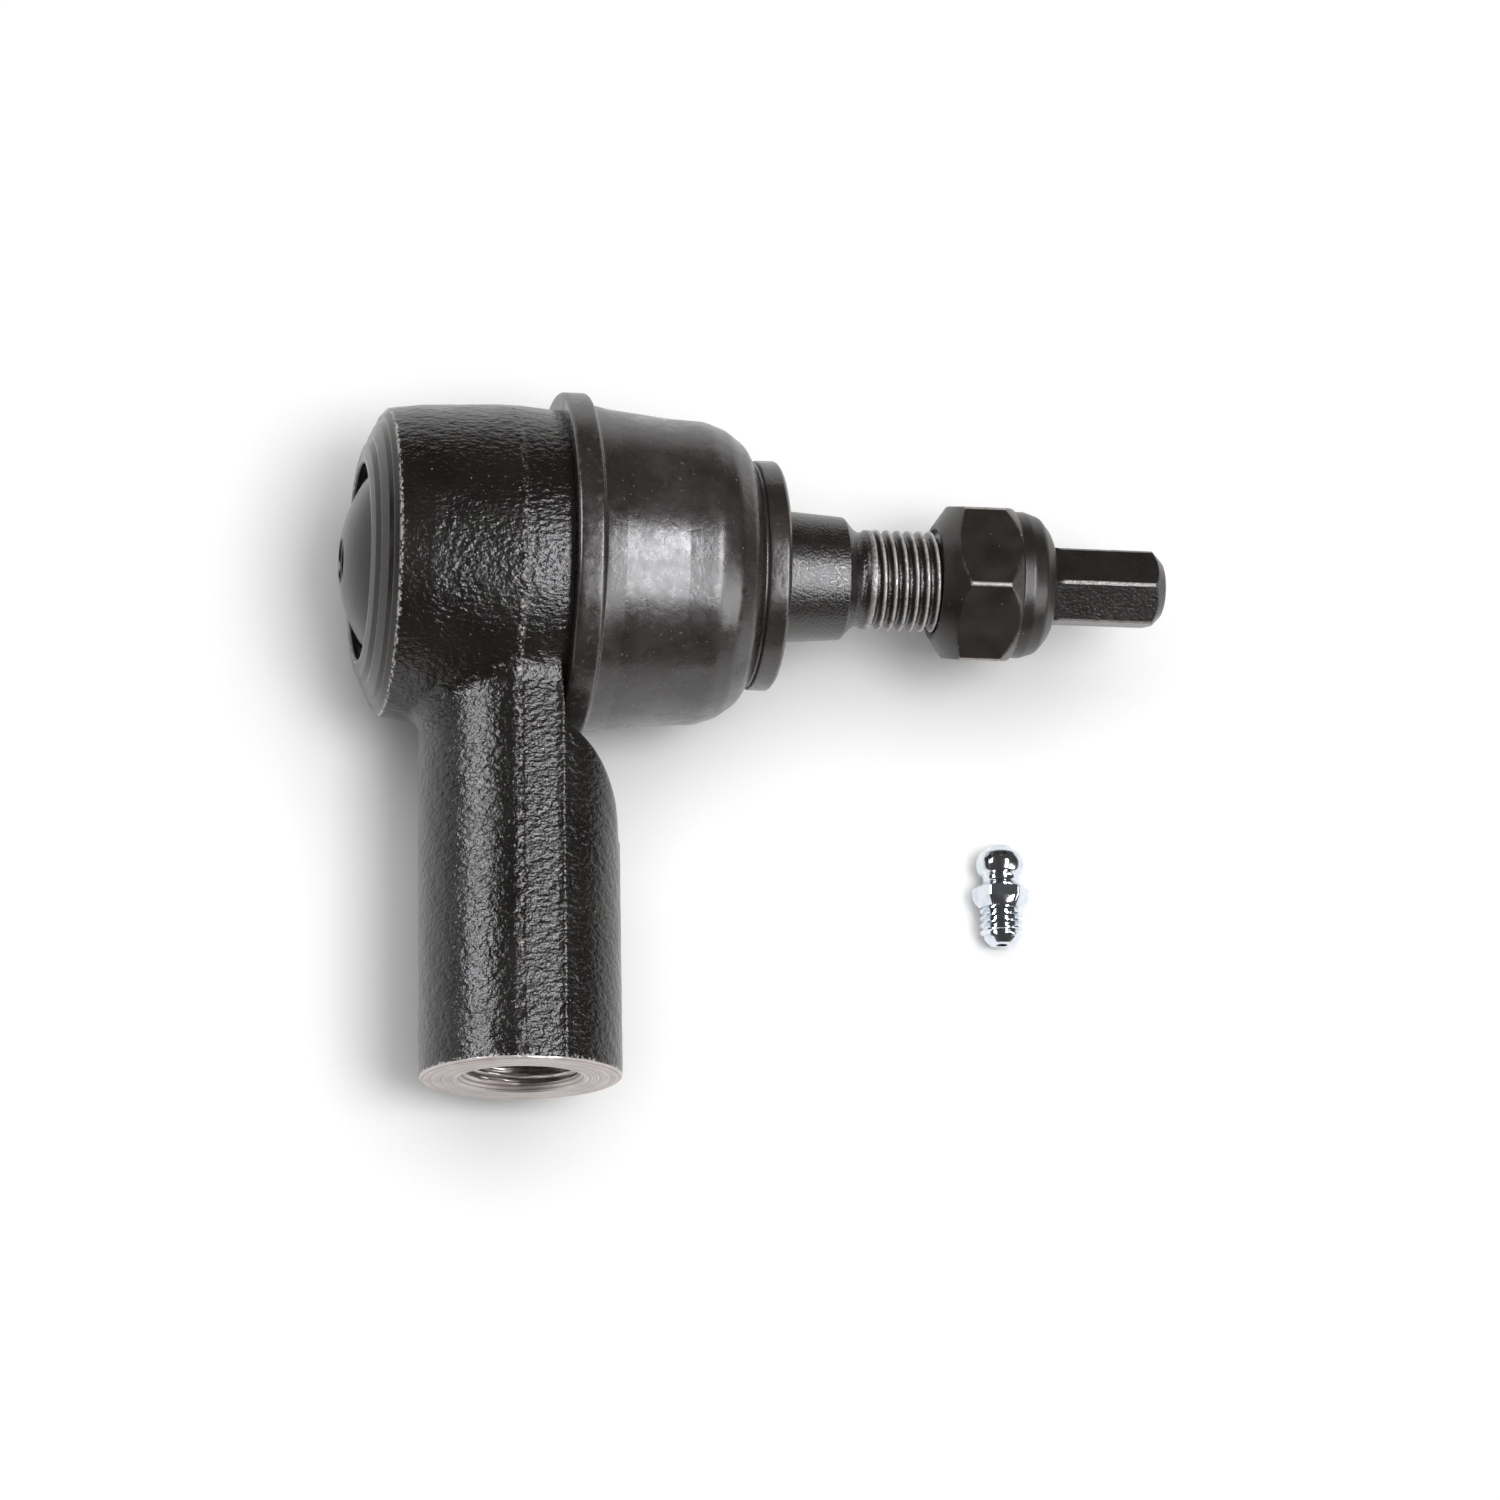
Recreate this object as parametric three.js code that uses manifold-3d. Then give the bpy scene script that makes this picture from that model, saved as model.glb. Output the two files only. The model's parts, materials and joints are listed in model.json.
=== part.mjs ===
// Outer tie rod end with an internally threaded shank, its lock nut and its loose grease fitting.
//
// Sizes are millimetres. The design axes are centred on the ball: +X runs along the ball stud from the
// cover to the hexagonal tip, -Y runs down the shank, and +Z points up from the bench that the part lies
// on. The finished group is then moved so that its origin is the bottom centre of its bounding box.
import * as THREE from 'three';
import { mergeVertices } from 'three/addons/utils/BufferGeometryUtils.js';
import Module from 'manifold-3d';

const wasm = await Module();
wasm.setup();

// ---------- driving dimensions ----------

// General
const RUNNING_GAP = 0.3;          // gap left between neighbouring solids
const ROUND_SEGMENTS = 36;        // facets round a large turned piece
const SMALL_SEGMENTS = 20;        // facets round a small turned piece
const THREAD_SEGMENTS = 12;       // facets in one turn of a thread
const THREAD_FLANK = Math.tan(Math.PI / 6);   // a 60 degree thread: half of its angle

// Housing barrel, turned about X
const BARREL_LEFT = -18.3;        // edge where the forging starts, behind the machined lip
const BARREL_RIGHT = 4.6;         // face towards the boot
const BARREL_RADIUS = 22;
const SPIGOT_RADIUS = 19.4;       // hidden step that the boot is pushed on to
const SPIGOT_END = 10.5;
const LIP_RADIUS = 18.9;          // root of the rolled lip
const LIP_RIM = -21.6;            // open end of the rolled lip
const LIP_OPENING_RADIUS = 13.3;
const LIP_THICKNESS = 1.4;
const COVER_SEAT_RADIUS = 17.3;
const COVER_SEAT_DEPTH = -17.3;
const SOCKET_RADIUS = 16;         // bore that holds both bearings
const CONE_START = 2.5;           // conical end of the bore, which holds the ball in
const CONE_END = 8;
const CONE_END_RADIUS = 11.7;
const MOUTH_RADIUS = 14;          // flare that the swinging neck needs

// Housing shank, turned about Y
const SHANK_RADIUS = 13.55;
const SHANK_END = -71.2;
const SHANK_CHAMFER = 0.6;
const SHOULDER_RADIUS = 15.7;     // rounding of the shank below the boot
const SHOULDER_CENTRE = [-1.9, -39];
const FLASH_TURN = 5;             // degrees that the trimmed flash bands lean towards the boot
const FLASH_WIDTH = 6;            // width of each flat that trimming leaves
const BORE_MAJOR = 8;             // M16 x 1.5 internal thread
const BORE_MINOR = 7.25;
const BORE_PITCH = 1.5;
const BORE_THREAD_DEPTH = 25.5;
const BORE_DEPTH = 31;
const BORE_TIP = 3.5;             // depth of the drill point
const COUNTERSINK_RADIUS = 8.6;

// Ball stud, turned about X
const BALL_RADIUS = 13;
const BALL_FLAT = -11.5;          // flat on the cover side of the ball
const NECK_RADIUS = 7.3;
const NECK_END = 20;
const COLLAR_LAND_START = 27;     // cylinder that the boot collar seals on
const COLLAR_LAND_RADIUS = 9.25;
const TAPER_START = 35;
const TAPER_START_RADIUS = 9.15;
const TAPER_END = 44.8;
const TAPER_END_RADIUS = 8.45;
const RELIEF_RADIUS = 6.6;
const STUD_MAJOR = 6.93;          // M14 x 1.5 external thread
const STUD_MINOR = 6.08;
const STUD_PITCH = 1.5;
const THREAD_START = 48.2;
const THREAD_END = 74.2;
const HEX_END_FLATS = 10.1;
const STUD_TIP = 90.2;
const TIP_FACE_RADIUS = 3.6;
const TIP_CHAMFER = 1.7;
const HEX_END_CLOCKING = -10;     // degrees from +Z towards -Y to the first corner

// Bearings, spring washer and cover
const BEARING_RADIUS = SOCKET_RADIUS - RUNNING_GAP;
const BEARING_BALL_RADIUS = BALL_RADIUS + RUNNING_GAP;
const LOWER_BEARING_BASE = -14.9;
const UPPER_BEARING_END = 7.4;
const GREASE_PASSAGE_RADIUS = 4;
const COVER_RADIUS = 17;
const COVER_THICKNESS = 2.3;
const COVER_FACE = -19.9;         // flat rim of the cover, under the lip
const DOME_RADIUS = 12.6;
const DOME_APEX = -24.3;
const COVER_REACH = -24.06;       // rim of the hole in the dome, the end of the whole part
const FITTING_MAJOR = 3;          // M6 x 1 thread of the grease fitting and its hole
const FITTING_MINOR = 2.45;
const FITTING_PITCH = 1;

// Dust boot, turned about X
const BOOT_WALL = 2;
const FLANGE_LEFT = 4.9;
const FLANGE_RIGHT = 8.6;
const FLANGE_RADIUS = 24;
const COLLAR_LEFT = 32;
const COLLAR_RIGHT = 35.3;
const COLLAR_RADIUS = 15.6;
const COLLAR_BORE = 9.6;

// Lock nut with an insert
const NUT_FLATS = 21;
const NUT_LEFT = 57.3;
const NUT_FACE_RADIUS = 7.7;
const NUT_CORNERS_START = 60;
const NUT_CORNERS_END = 65;
const NUT_FLATS_END = 68.6;
const NUT_COLLAR_END = 74;
const NUT_COLLAR_RADIUS = 10.1;
const NUT_COLLAR_ROUNDING = 3.3;
const NUT_CLOCKING = -17;         // degrees from +Z towards -Y to the first corner
const NUT_THREAD_END = 68.4;
const INSERT_POCKET_RADIUS = 8.8;
const INSERT_END = 72.4;

// Loose grease fitting, turned about its own axis and laid beside the joint
const FITTING_PLACE = [71, -46.3, -20.5];
const FITTING_LENGTH = 14.1;
const FITTING_HEX_FLATS = 7;
const FITTING_HEX_START = 5.2;
const FITTING_HEX_END = 8.2;
const FITTING_NECK_RADIUS = 2;
const FITTING_HEAD_RADIUS = 3.25;
const FITTING_BORE = 1.35;
const FITTING_CRIMP = 0.75;
const CHECK_BALL_RADIUS = 1;
const SPRING_WIRE = 0.16;
const SPRING_RADIUS = 0.85;
const SPRING_TURNS = 6;

// ---------- solids ----------

// A closed geometry becomes a manifold solid. Triangles that shrink to nothing on a lathe's axis go.
function solid(geometry) {
  const bare = geometry.clone();
  bare.deleteAttribute('normal');
  bare.deleteAttribute('uv');
  const merged = mergeVertices(bare, 1e-5);
  const index = merged.index.array;
  const corners = [];
  for (let i = 0; i < index.length; i += 3) {
    const [a, b, c] = [index[i], index[i + 1], index[i + 2]];
    if (a !== b && b !== c && c !== a) {
      corners.push(a, b, c);
    }
  }
  return new wasm.Manifold(new wasm.Mesh({
    numProp: 3,
    vertProperties: new Float32Array(merged.attributes.position.array),
    triVerts: new Uint32Array(corners),
  }));
}

function geometryOf(manifold) {
  const mesh = manifold.getMesh();
  const geometry = new THREE.BufferGeometry();
  geometry.setAttribute('position', new THREE.BufferAttribute(new Float32Array(mesh.vertProperties), 3));
  geometry.setIndex(new THREE.BufferAttribute(new Uint32Array(mesh.triVerts), 1));
  geometry.computeVertexNormals();
  return geometry;
}

// A profile of [radius, distance along the axis] pairs, turned about Y.
function turnedAboutY(profile, segments = ROUND_SEGMENTS) {
  return new THREE.LatheGeometry(profile.map(([r, y]) => new THREE.Vector2(r, y)), segments);
}

// The same, turned about X. The first facet corner points to +Z.
function turned(profile, segments = ROUND_SEGMENTS) {
  return turnedAboutY(profile, segments).rotateZ(-Math.PI / 2);
}

// Points of a circular arc in a profile; the angle is measured from the axis direction.
function arc(axial, radial, radius, fromDegrees, toDegrees, steps) {
  const points = [];
  for (let i = 0; i <= steps; i += 1) {
    const angle = THREE.MathUtils.degToRad(fromDegrees + (toDegrees - fromDegrees) * i / steps);
    points.push([radial + radius * Math.sin(angle), axial + radius * Math.cos(angle)]);
  }
  return points;
}

// The other short side of a right triangle.
function otherSide(hypotenuse, side) {
  return Math.sqrt(hypotenuse * hypotenuse - side * side);
}

// One helical ridge about X, right handed. Its section is a list of [along the axis, radius] pairs. It is
// a straight extrusion whose length is then read as the angle round the axis.
function helix(section, pitch, start, turns) {
  const shape = new THREE.Shape(section.map(([x, r]) => new THREE.Vector2(x, r)));
  const steps = Math.round(turns * THREAD_SEGMENTS);
  const geometry = new THREE.ExtrudeGeometry(shape, { depth: turns, steps, bevelEnabled: false });
  const position = geometry.attributes.position;
  for (let i = 0; i < position.count; i += 1) {
    const turn = position.getZ(i);
    const radius = position.getY(i);
    const angle = 2 * Math.PI * turn;
    const x = start + position.getX(i) + pitch * turn;
    position.setXYZ(i, x, radius * Math.cos(angle), radius * Math.sin(angle));
  }
  return solid(geometry);
}

// A ridge standing out from a core, wide at its root and narrow at its crest.
function threadRidge(rootRadius, crestRadius, pitch, start, length, widen = 0) {
  const buried = 0.25;
  const crest = pitch / 16 + widen;
  const root = crest + (crestRadius - rootRadius) * THREAD_FLANK;
  const foot = root + buried * THREAD_FLANK;
  const section = [
    [-foot, rootRadius - buried],
    [foot, rootRadius - buried],
    [crest, crestRadius],
    [-crest, crestRadius],
  ];
  return helix(section, pitch, start, length / pitch);
}

// A hexagonal prism along X with one corner turned from +Z towards -Y.
function hexPrism(flats, from, to, clocking) {
  const cornerRadius = flats / Math.sqrt(3);
  const prism = new THREE.CylinderGeometry(cornerRadius, cornerRadius, to - from, 6);
  prism.rotateZ(-Math.PI / 2);
  prism.rotateX(THREE.MathUtils.degToRad(-clocking));
  prism.translate((from + to) / 2, 0, 0);
  return solid(prism);
}

function node(name, manifold, color, roughness, metalness) {
  const material = new THREE.MeshStandardMaterial({ color, roughness, metalness });
  const mesh = new THREE.Mesh(geometryOf(manifold), material);
  mesh.name = name;
  return mesh;
}

// ---------- housing ----------

// The barrel with its machined, rolled lip at the cover end and its spigot at the boot end.
function barrel() {
  return solid(turned([
    [0, LIP_RIM],
    [LIP_OPENING_RADIUS + 1, LIP_RIM],
    [LIP_RADIUS - 2.6, LIP_RIM + 0.7],
    [LIP_RADIUS - 1, LIP_RIM + 1.5],
    [LIP_RADIUS - 0.1, BARREL_LEFT - 0.9],
    [BARREL_RADIUS - 1.1, BARREL_LEFT],
    [BARREL_RADIUS - 0.5, BARREL_LEFT + 4],
    [BARREL_RADIUS, BARREL_LEFT + 15],
    [BARREL_RADIUS - 0.1, 0],
    [BARREL_RADIUS - 0.5, BARREL_RIGHT],
    [SPIGOT_RADIUS, BARREL_RIGHT],
    [SPIGOT_RADIUS, SPIGOT_END],
    [0, SPIGOT_END],
  ]));
}

// The shank: a cylinder whose boot side is rounded off at the top, with two flats where the flash of the
// forging was trimmed.
function shank() {
  const cylinder = solid(turnedAboutY([
    [0, SHANK_END],
    [SHANK_RADIUS - SHANK_CHAMFER, SHANK_END],
    [SHANK_RADIUS, SHANK_END + SHANK_CHAMFER],
    [SHANK_RADIUS, 0],
    [0, 0],
  ]));
  const [centreX, centreY] = SHOULDER_CENTRE;
  const room = SHANK_RADIUS + 1;
  const outline = new THREE.Shape();
  outline.moveTo(-room, SHANK_END - 1);
  outline.lineTo(centreX + SHOULDER_RADIUS, SHANK_END - 1);
  outline.absarc(centreX, centreY, SHOULDER_RADIUS, 0, Math.PI * 0.365, false);
  outline.lineTo(BARREL_RIGHT - 0.6, -2);
  outline.lineTo(-room, -2);
  const across = { depth: 2 * room, curveSegments: 10, bevelEnabled: false };
  const slab = new THREE.ExtrudeGeometry(outline, across);
  slab.translate(0, 0, -room);
  let result = cylinder.intersect(solid(slab));
  const flat = otherSide(SHANK_RADIUS, FLASH_WIDTH / 2);
  for (const side of [1, -1]) {
    const trim = new THREE.BoxGeometry(2 * room, -2 * SHANK_END, 2);
    trim.translate(0, 0, side * (flat + 1));
    trim.rotateY(THREE.MathUtils.degToRad(side * FLASH_TURN));
    result = result.subtract(solid(trim));
  }
  return result;
}

// The space inside the barrel: cover seat, bearing bore, cone and mouth.
function socket() {
  const lipInside = LIP_RIM + LIP_THICKNESS;
  return solid(turned([
    [0, LIP_RIM - 1],
    [LIP_OPENING_RADIUS, LIP_RIM - 1],
    [LIP_OPENING_RADIUS, lipInside],
    [COVER_SEAT_RADIUS, lipInside],
    [COVER_SEAT_RADIUS, COVER_SEAT_DEPTH],
    [SOCKET_RADIUS, COVER_SEAT_DEPTH],
    [SOCKET_RADIUS, CONE_START],
    [CONE_END_RADIUS, CONE_END],
    [MOUTH_RADIUS, SPIGOT_END],
    [MOUTH_RADIUS, SPIGOT_END + 1],
    [0, SPIGOT_END + 1],
  ]));
}

// The threaded bore of the shank, as the solid that is cut away, drilled up from the shank's end.
function shankBore() {
  const drill = turned([
    [0, -1],
    [COUNTERSINK_RADIUS, -1],
    [COUNTERSINK_RADIUS, 0],
    [BORE_MINOR, COUNTERSINK_RADIUS - BORE_MINOR],
    [BORE_MINOR, BORE_DEPTH],
    [0, BORE_DEPTH + BORE_TIP],
  ], THREAD_SEGMENTS);
  const groove = threadRidge(BORE_MINOR, BORE_MAJOR, BORE_PITCH, -BORE_PITCH, BORE_THREAD_DEPTH);
  return solid(drill).add(groove).rotate([0, 0, 90]).translate([0, SHANK_END, 0]);
}

function housing() {
  const forging = barrel().add(shank());
  return node('housing', forging.subtract(socket()).subtract(shankBore()), 0x1c1b1b, 0.45, 0.3);
}

// ---------- ball stud ----------

function ballStud() {
  const ballFlatAngle = THREE.MathUtils.radToDeg(Math.acos(BALL_FLAT / BALL_RADIUS));
  const neckAngle = THREE.MathUtils.radToDeg(Math.asin(NECK_RADIUS / BALL_RADIUS));
  const turning = solid(turned([
    [0, BALL_FLAT],
    ...arc(0, 0, BALL_RADIUS, ballFlatAngle, neckAngle, 12),
    [NECK_RADIUS, NECK_END],
    [COLLAR_LAND_RADIUS, COLLAR_LAND_START],
    [COLLAR_LAND_RADIUS, TAPER_START - 0.5],
    [TAPER_START_RADIUS, TAPER_START],
    [TAPER_END_RADIUS, TAPER_END],
    [RELIEF_RADIUS, TAPER_END + TAPER_END_RADIUS - RELIEF_RADIUS],
    [RELIEF_RADIUS, TAPER_END + 2.3],
    [STUD_MAJOR, TAPER_END + 2.8],
    [STUD_MAJOR, THREAD_START],
    [STUD_MINOR - 0.3, THREAD_START + 0.8],
    [0, THREAD_START + 0.8],
  ]));
  const core = solid(turned([
    [0, THREAD_START - 0.5],
    [STUD_MINOR, THREAD_START - 0.5],
    [STUD_MINOR, THREAD_END],
    [HEX_END_FLATS / 2 - 0.1, THREAD_END + 0.9],
    [0, THREAD_END + 0.9],
  ], THREAD_SEGMENTS));
  const ridge = threadRidge(STUD_MINOR, STUD_MAJOR, STUD_PITCH, THREAD_START, THREAD_END - THREAD_START);
  const threadEnvelope = solid(turned([
    [0, THREAD_START + 0.2],
    [STUD_MAJOR + 0.3, THREAD_START + 0.2],
    [STUD_MAJOR + 0.3, THREAD_END - 1.5],
    [STUD_MINOR - 0.2, THREAD_END],
    [0, THREAD_END],
  ], THREAD_SEGMENTS));
  const corner = HEX_END_FLATS / Math.sqrt(3);
  const tipEnvelope = solid(turned([
    [0, THREAD_END - 1],
    [corner + 0.1, THREAD_END - 1],
    [corner + 0.1, STUD_TIP - TIP_CHAMFER],
    [TIP_FACE_RADIUS, STUD_TIP],
    [0, STUD_TIP],
  ], SMALL_SEGMENTS));
  const hexEnd = hexPrism(HEX_END_FLATS, THREAD_END - 1, STUD_TIP, HEX_END_CLOCKING).intersect(tipEnvelope);
  const stud = turning.add(core).add(ridge.intersect(threadEnvelope)).add(hexEnd);
  return node('ball_stud', stud, 0x2a2829, 0.4, 0.6);
}

// ---------- pieces inside the barrel ----------

function upperBearing() {
  const start = RUNNING_GAP;
  const cone = (SOCKET_RADIUS - CONE_END_RADIUS) / (CONE_END - CONE_START);
  const endRadius = BEARING_RADIUS - cone * (UPPER_BEARING_END - CONE_START + RUNNING_GAP);
  const fromAngle = THREE.MathUtils.radToDeg(Math.acos(UPPER_BEARING_END / BEARING_BALL_RADIUS));
  const toAngle = THREE.MathUtils.radToDeg(Math.acos(start / BEARING_BALL_RADIUS));
  return node('upper_bearing', solid(turned([
    [BEARING_RADIUS, start],
    [BEARING_RADIUS, CONE_START - RUNNING_GAP],
    [endRadius, UPPER_BEARING_END],
    ...arc(0, 0, BEARING_BALL_RADIUS, fromAngle, toAngle, 5),
    [BEARING_RADIUS, start],
  ])), 0xd8d2c0, 0.6, 0);
}

function lowerBearing() {
  const end = -RUNNING_GAP;
  const fromAngle = THREE.MathUtils.radToDeg(Math.acos(end / BEARING_BALL_RADIUS));
  const toAngle = 180 - THREE.MathUtils.radToDeg(Math.asin(GREASE_PASSAGE_RADIUS / BEARING_BALL_RADIUS));
  return node('lower_bearing', solid(turned([
    [GREASE_PASSAGE_RADIUS, LOWER_BEARING_BASE],
    [BEARING_RADIUS, LOWER_BEARING_BASE],
    [BEARING_RADIUS, end],
    ...arc(0, 0, BEARING_BALL_RADIUS, fromAngle, toAngle, 8),
    [GREASE_PASSAGE_RADIUS, LOWER_BEARING_BASE],
  ])), 0xd8d2c0, 0.6, 0);
}

// A coned spring washer pressed between the cover and the lower bearing.
function preloadWasher() {
  const thickness = 0.9;
  const outer = [BEARING_RADIUS - 0.4, COVER_FACE + COVER_THICKNESS + RUNNING_GAP];
  const inner = [6, LOWER_BEARING_BASE - RUNNING_GAP - thickness];
  return node('preload_washer', solid(turned([
    inner,
    outer,
    [outer[0], outer[1] + thickness],
    [inner[0], inner[1] + thickness],
    inner,
  ])), 0x7c7a78, 0.35, 0.9);
}

// The pressed cover: a flat rim held by the lip, and a dome with the threaded hole of the grease fitting.
function coverPlate() {
  const rise = COVER_FACE - DOME_APEX;
  const outerSphere = (DOME_RADIUS * DOME_RADIUS + rise * rise) / (2 * rise);
  const centre = DOME_APEX + outerSphere;
  const innerSphere = outerSphere - COVER_THICKNESS;
  const innerFace = COVER_FACE + COVER_THICKNESS;
  const outerEdge = THREE.MathUtils.radToDeg(Math.asin(DOME_RADIUS / outerSphere));
  const innerEdge = THREE.MathUtils.radToDeg(Math.acos((innerFace - centre) / -innerSphere));
  const plate = solid(turned([
    ...arc(centre, 0, outerSphere, 180, 180 - outerEdge, 6),
    [COVER_RADIUS, COVER_FACE],
    [COVER_RADIUS, innerFace],
    ...arc(centre, 0, innerSphere, 180 - innerEdge, 180, 4),
  ]));
  const drill = solid(turned([
    [0, DOME_APEX - 1],
    [FITTING_MAJOR, DOME_APEX - 1],
    [FITTING_MAJOR, DOME_APEX + 0.3],
    [FITTING_MINOR, DOME_APEX + 0.3 + FITTING_MAJOR - FITTING_MINOR],
    [FITTING_MINOR, innerFace],
    [0, innerFace],
  ], THREAD_SEGMENTS));
  const grooveStart = DOME_APEX - FITTING_PITCH;
  const grooveLength = COVER_THICKNESS + 2 * FITTING_PITCH;
  const groove = threadRidge(FITTING_MINOR, FITTING_MAJOR, FITTING_PITCH, grooveStart, grooveLength);
  return node('cover_plate', plate.subtract(drill).subtract(groove), 0x5a5657, 0.35, 0.6);
}

// ---------- dust boot ----------

// A rubber sleeve: a wide flange on the barrel, a nearly cylindrical bellows, and a lipped collar on the
// stud. Grooves inside the flange and the collar hold the two retaining rings.
function dustBoot() {
  const bodyRadius = 21.8;
  const neckRadius = 15.2;
  return node('dust_boot', solid(turned([
    [SPIGOT_RADIUS + RUNNING_GAP, FLANGE_LEFT],
    [FLANGE_RADIUS, FLANGE_LEFT],
    [FLANGE_RADIUS, FLANGE_RIGHT],
    [bodyRadius, FLANGE_RIGHT + 0.4],
    [bodyRadius - 0.7, FLANGE_RIGHT + 5],
    [bodyRadius - 1.2, FLANGE_RIGHT + 14.5],
    [bodyRadius - 1.9, FLANGE_RIGHT + 17.4],
    [bodyRadius - 3.2, COLLAR_LEFT - 3.4],
    [neckRadius + 1.4, COLLAR_LEFT - 1],
    [neckRadius, COLLAR_LEFT],
    [COLLAR_RADIUS, COLLAR_LEFT + 0.6],
    [COLLAR_RADIUS, COLLAR_RIGHT - 0.6],
    [COLLAR_RADIUS - 0.6, COLLAR_RIGHT],
    [COLLAR_BORE, COLLAR_RIGHT],
    [COLLAR_BORE, COLLAR_RIGHT - 1.2],
    [COLLAR_BORE + 2.6, COLLAR_RIGHT - 1.2],
    [COLLAR_BORE + 2.6, COLLAR_LEFT - 0.6],
    [COLLAR_BORE, COLLAR_LEFT - 0.6],
    [COLLAR_BORE, COLLAR_LEFT - 2],
    [neckRadius - BOOT_WALL, COLLAR_LEFT - 2.4],
    [bodyRadius - 3.6 - BOOT_WALL, COLLAR_LEFT - 5],
    [bodyRadius - 1.2 - BOOT_WALL, FLANGE_RIGHT + 13],
    [bodyRadius - 0.7 - BOOT_WALL, FLANGE_RIGHT + 5],
    [SPIGOT_RADIUS + RUNNING_GAP, FLANGE_RIGHT + 1.6],
    [SPIGOT_RADIUS + RUNNING_GAP, FLANGE_RIGHT - 0.4],
    [SPIGOT_RADIUS + 2.6, FLANGE_RIGHT - 0.4],
    [SPIGOT_RADIUS + 2.6, FLANGE_LEFT + 1],
    [SPIGOT_RADIUS + RUNNING_GAP, FLANGE_LEFT + 1],
    [SPIGOT_RADIUS + RUNNING_GAP, FLANGE_LEFT],
  ])), 0x1d1c1e, 0.7, 0);
}

// A plain ring of rectangular section, turned about X.
function ring(innerRadius, outerRadius, left, right) {
  return solid(turned([
    [innerRadius, left],
    [outerRadius, left],
    [outerRadius, right],
    [innerRadius, right],
    [innerRadius, left],
  ]));
}

// The steel ring that grips the flange on the spigot.
function bootBaseRing() {
  const section = ring(SPIGOT_RADIUS + 0.6, SPIGOT_RADIUS + 2.3, FLANGE_LEFT + 1.3, FLANGE_RIGHT - 0.7);
  return node('boot_base_ring', section, 0x6f6d6c, 0.4, 0.9);
}

// The steel ring that keeps the collar tight on the stud.
function bootNeckRing() {
  const section = ring(COLLAR_BORE + 0.4, COLLAR_BORE + 2.3, COLLAR_LEFT - 0.3, COLLAR_RIGHT - 1.5);
  return node('boot_neck_ring', section, 0x6f6d6c, 0.4, 0.9);
}

// ---------- lock nut ----------

function lockNut() {
  const corner = NUT_FLATS / Math.sqrt(3);
  const prism = hexPrism(NUT_FLATS, NUT_LEFT, NUT_FLATS_END, NUT_CLOCKING);
  const envelope = solid(turned([
    [0, NUT_LEFT],
    [NUT_FACE_RADIUS, NUT_LEFT],
    [corner + 0.1, NUT_CORNERS_START],
    [corner + 0.1, NUT_CORNERS_END],
    [NUT_FLATS / 2 - 0.1, NUT_FLATS_END - 0.2],
    [0, NUT_FLATS_END - 0.2],
  ]));
  const roundingX = NUT_COLLAR_END - NUT_COLLAR_ROUNDING;
  const roundingRadius = NUT_COLLAR_RADIUS - NUT_COLLAR_ROUNDING;
  const collar = solid(turned([
    [0, NUT_CORNERS_END],
    [NUT_COLLAR_RADIUS, NUT_CORNERS_END],
    ...arc(roundingX, roundingRadius, NUT_COLLAR_ROUNDING, 90, 0, 5),
    [0, NUT_COLLAR_END],
  ]));
  const bore = solid(turned([
    [0, NUT_LEFT - 1],
    [STUD_MAJOR + 0.4, NUT_LEFT - 1],
    [STUD_MAJOR + 0.4, NUT_LEFT],
    [STUD_MINOR + 0.4, NUT_LEFT + 0.9],
    [STUD_MINOR + 0.4, NUT_THREAD_END],
    [INSERT_POCKET_RADIUS, NUT_THREAD_END],
    [INSERT_POCKET_RADIUS, INSERT_END],
    [INSERT_POCKET_RADIUS - 1.3, INSERT_END],
    [INSERT_POCKET_RADIUS - 1.3, NUT_COLLAR_END + 1],
    [0, NUT_COLLAR_END + 1],
  ], THREAD_SEGMENTS));
  const turnsBefore = Math.round((NUT_LEFT - THREAD_START) / STUD_PITCH) - 1;
  const grooveStart = THREAD_START + turnsBefore * STUD_PITCH;
  const groove = threadRidge(
    STUD_MINOR + 0.4, STUD_MAJOR + 0.45, STUD_PITCH, grooveStart, NUT_THREAD_END - grooveStart + 0.6, 0.1);
  const nut = prism.intersect(envelope).add(collar).subtract(bore).subtract(groove);
  return node('lock_nut', nut, 0x262424, 0.4, 0.6);
}

// The nylon ring in the nut's collar that grips the thread.
function lockNutInsert() {
  const gripRadius = STUD_MAJOR + RUNNING_GAP;
  const outerRadius = INSERT_POCKET_RADIUS - RUNNING_GAP;
  const section = ring(gripRadius, outerRadius, NUT_THREAD_END + RUNNING_GAP, INSERT_END - RUNNING_GAP);
  return node('lock_nut_insert', section, 0x1b1b1f, 0.5, 0);
}

// ---------- grease fitting ----------

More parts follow.
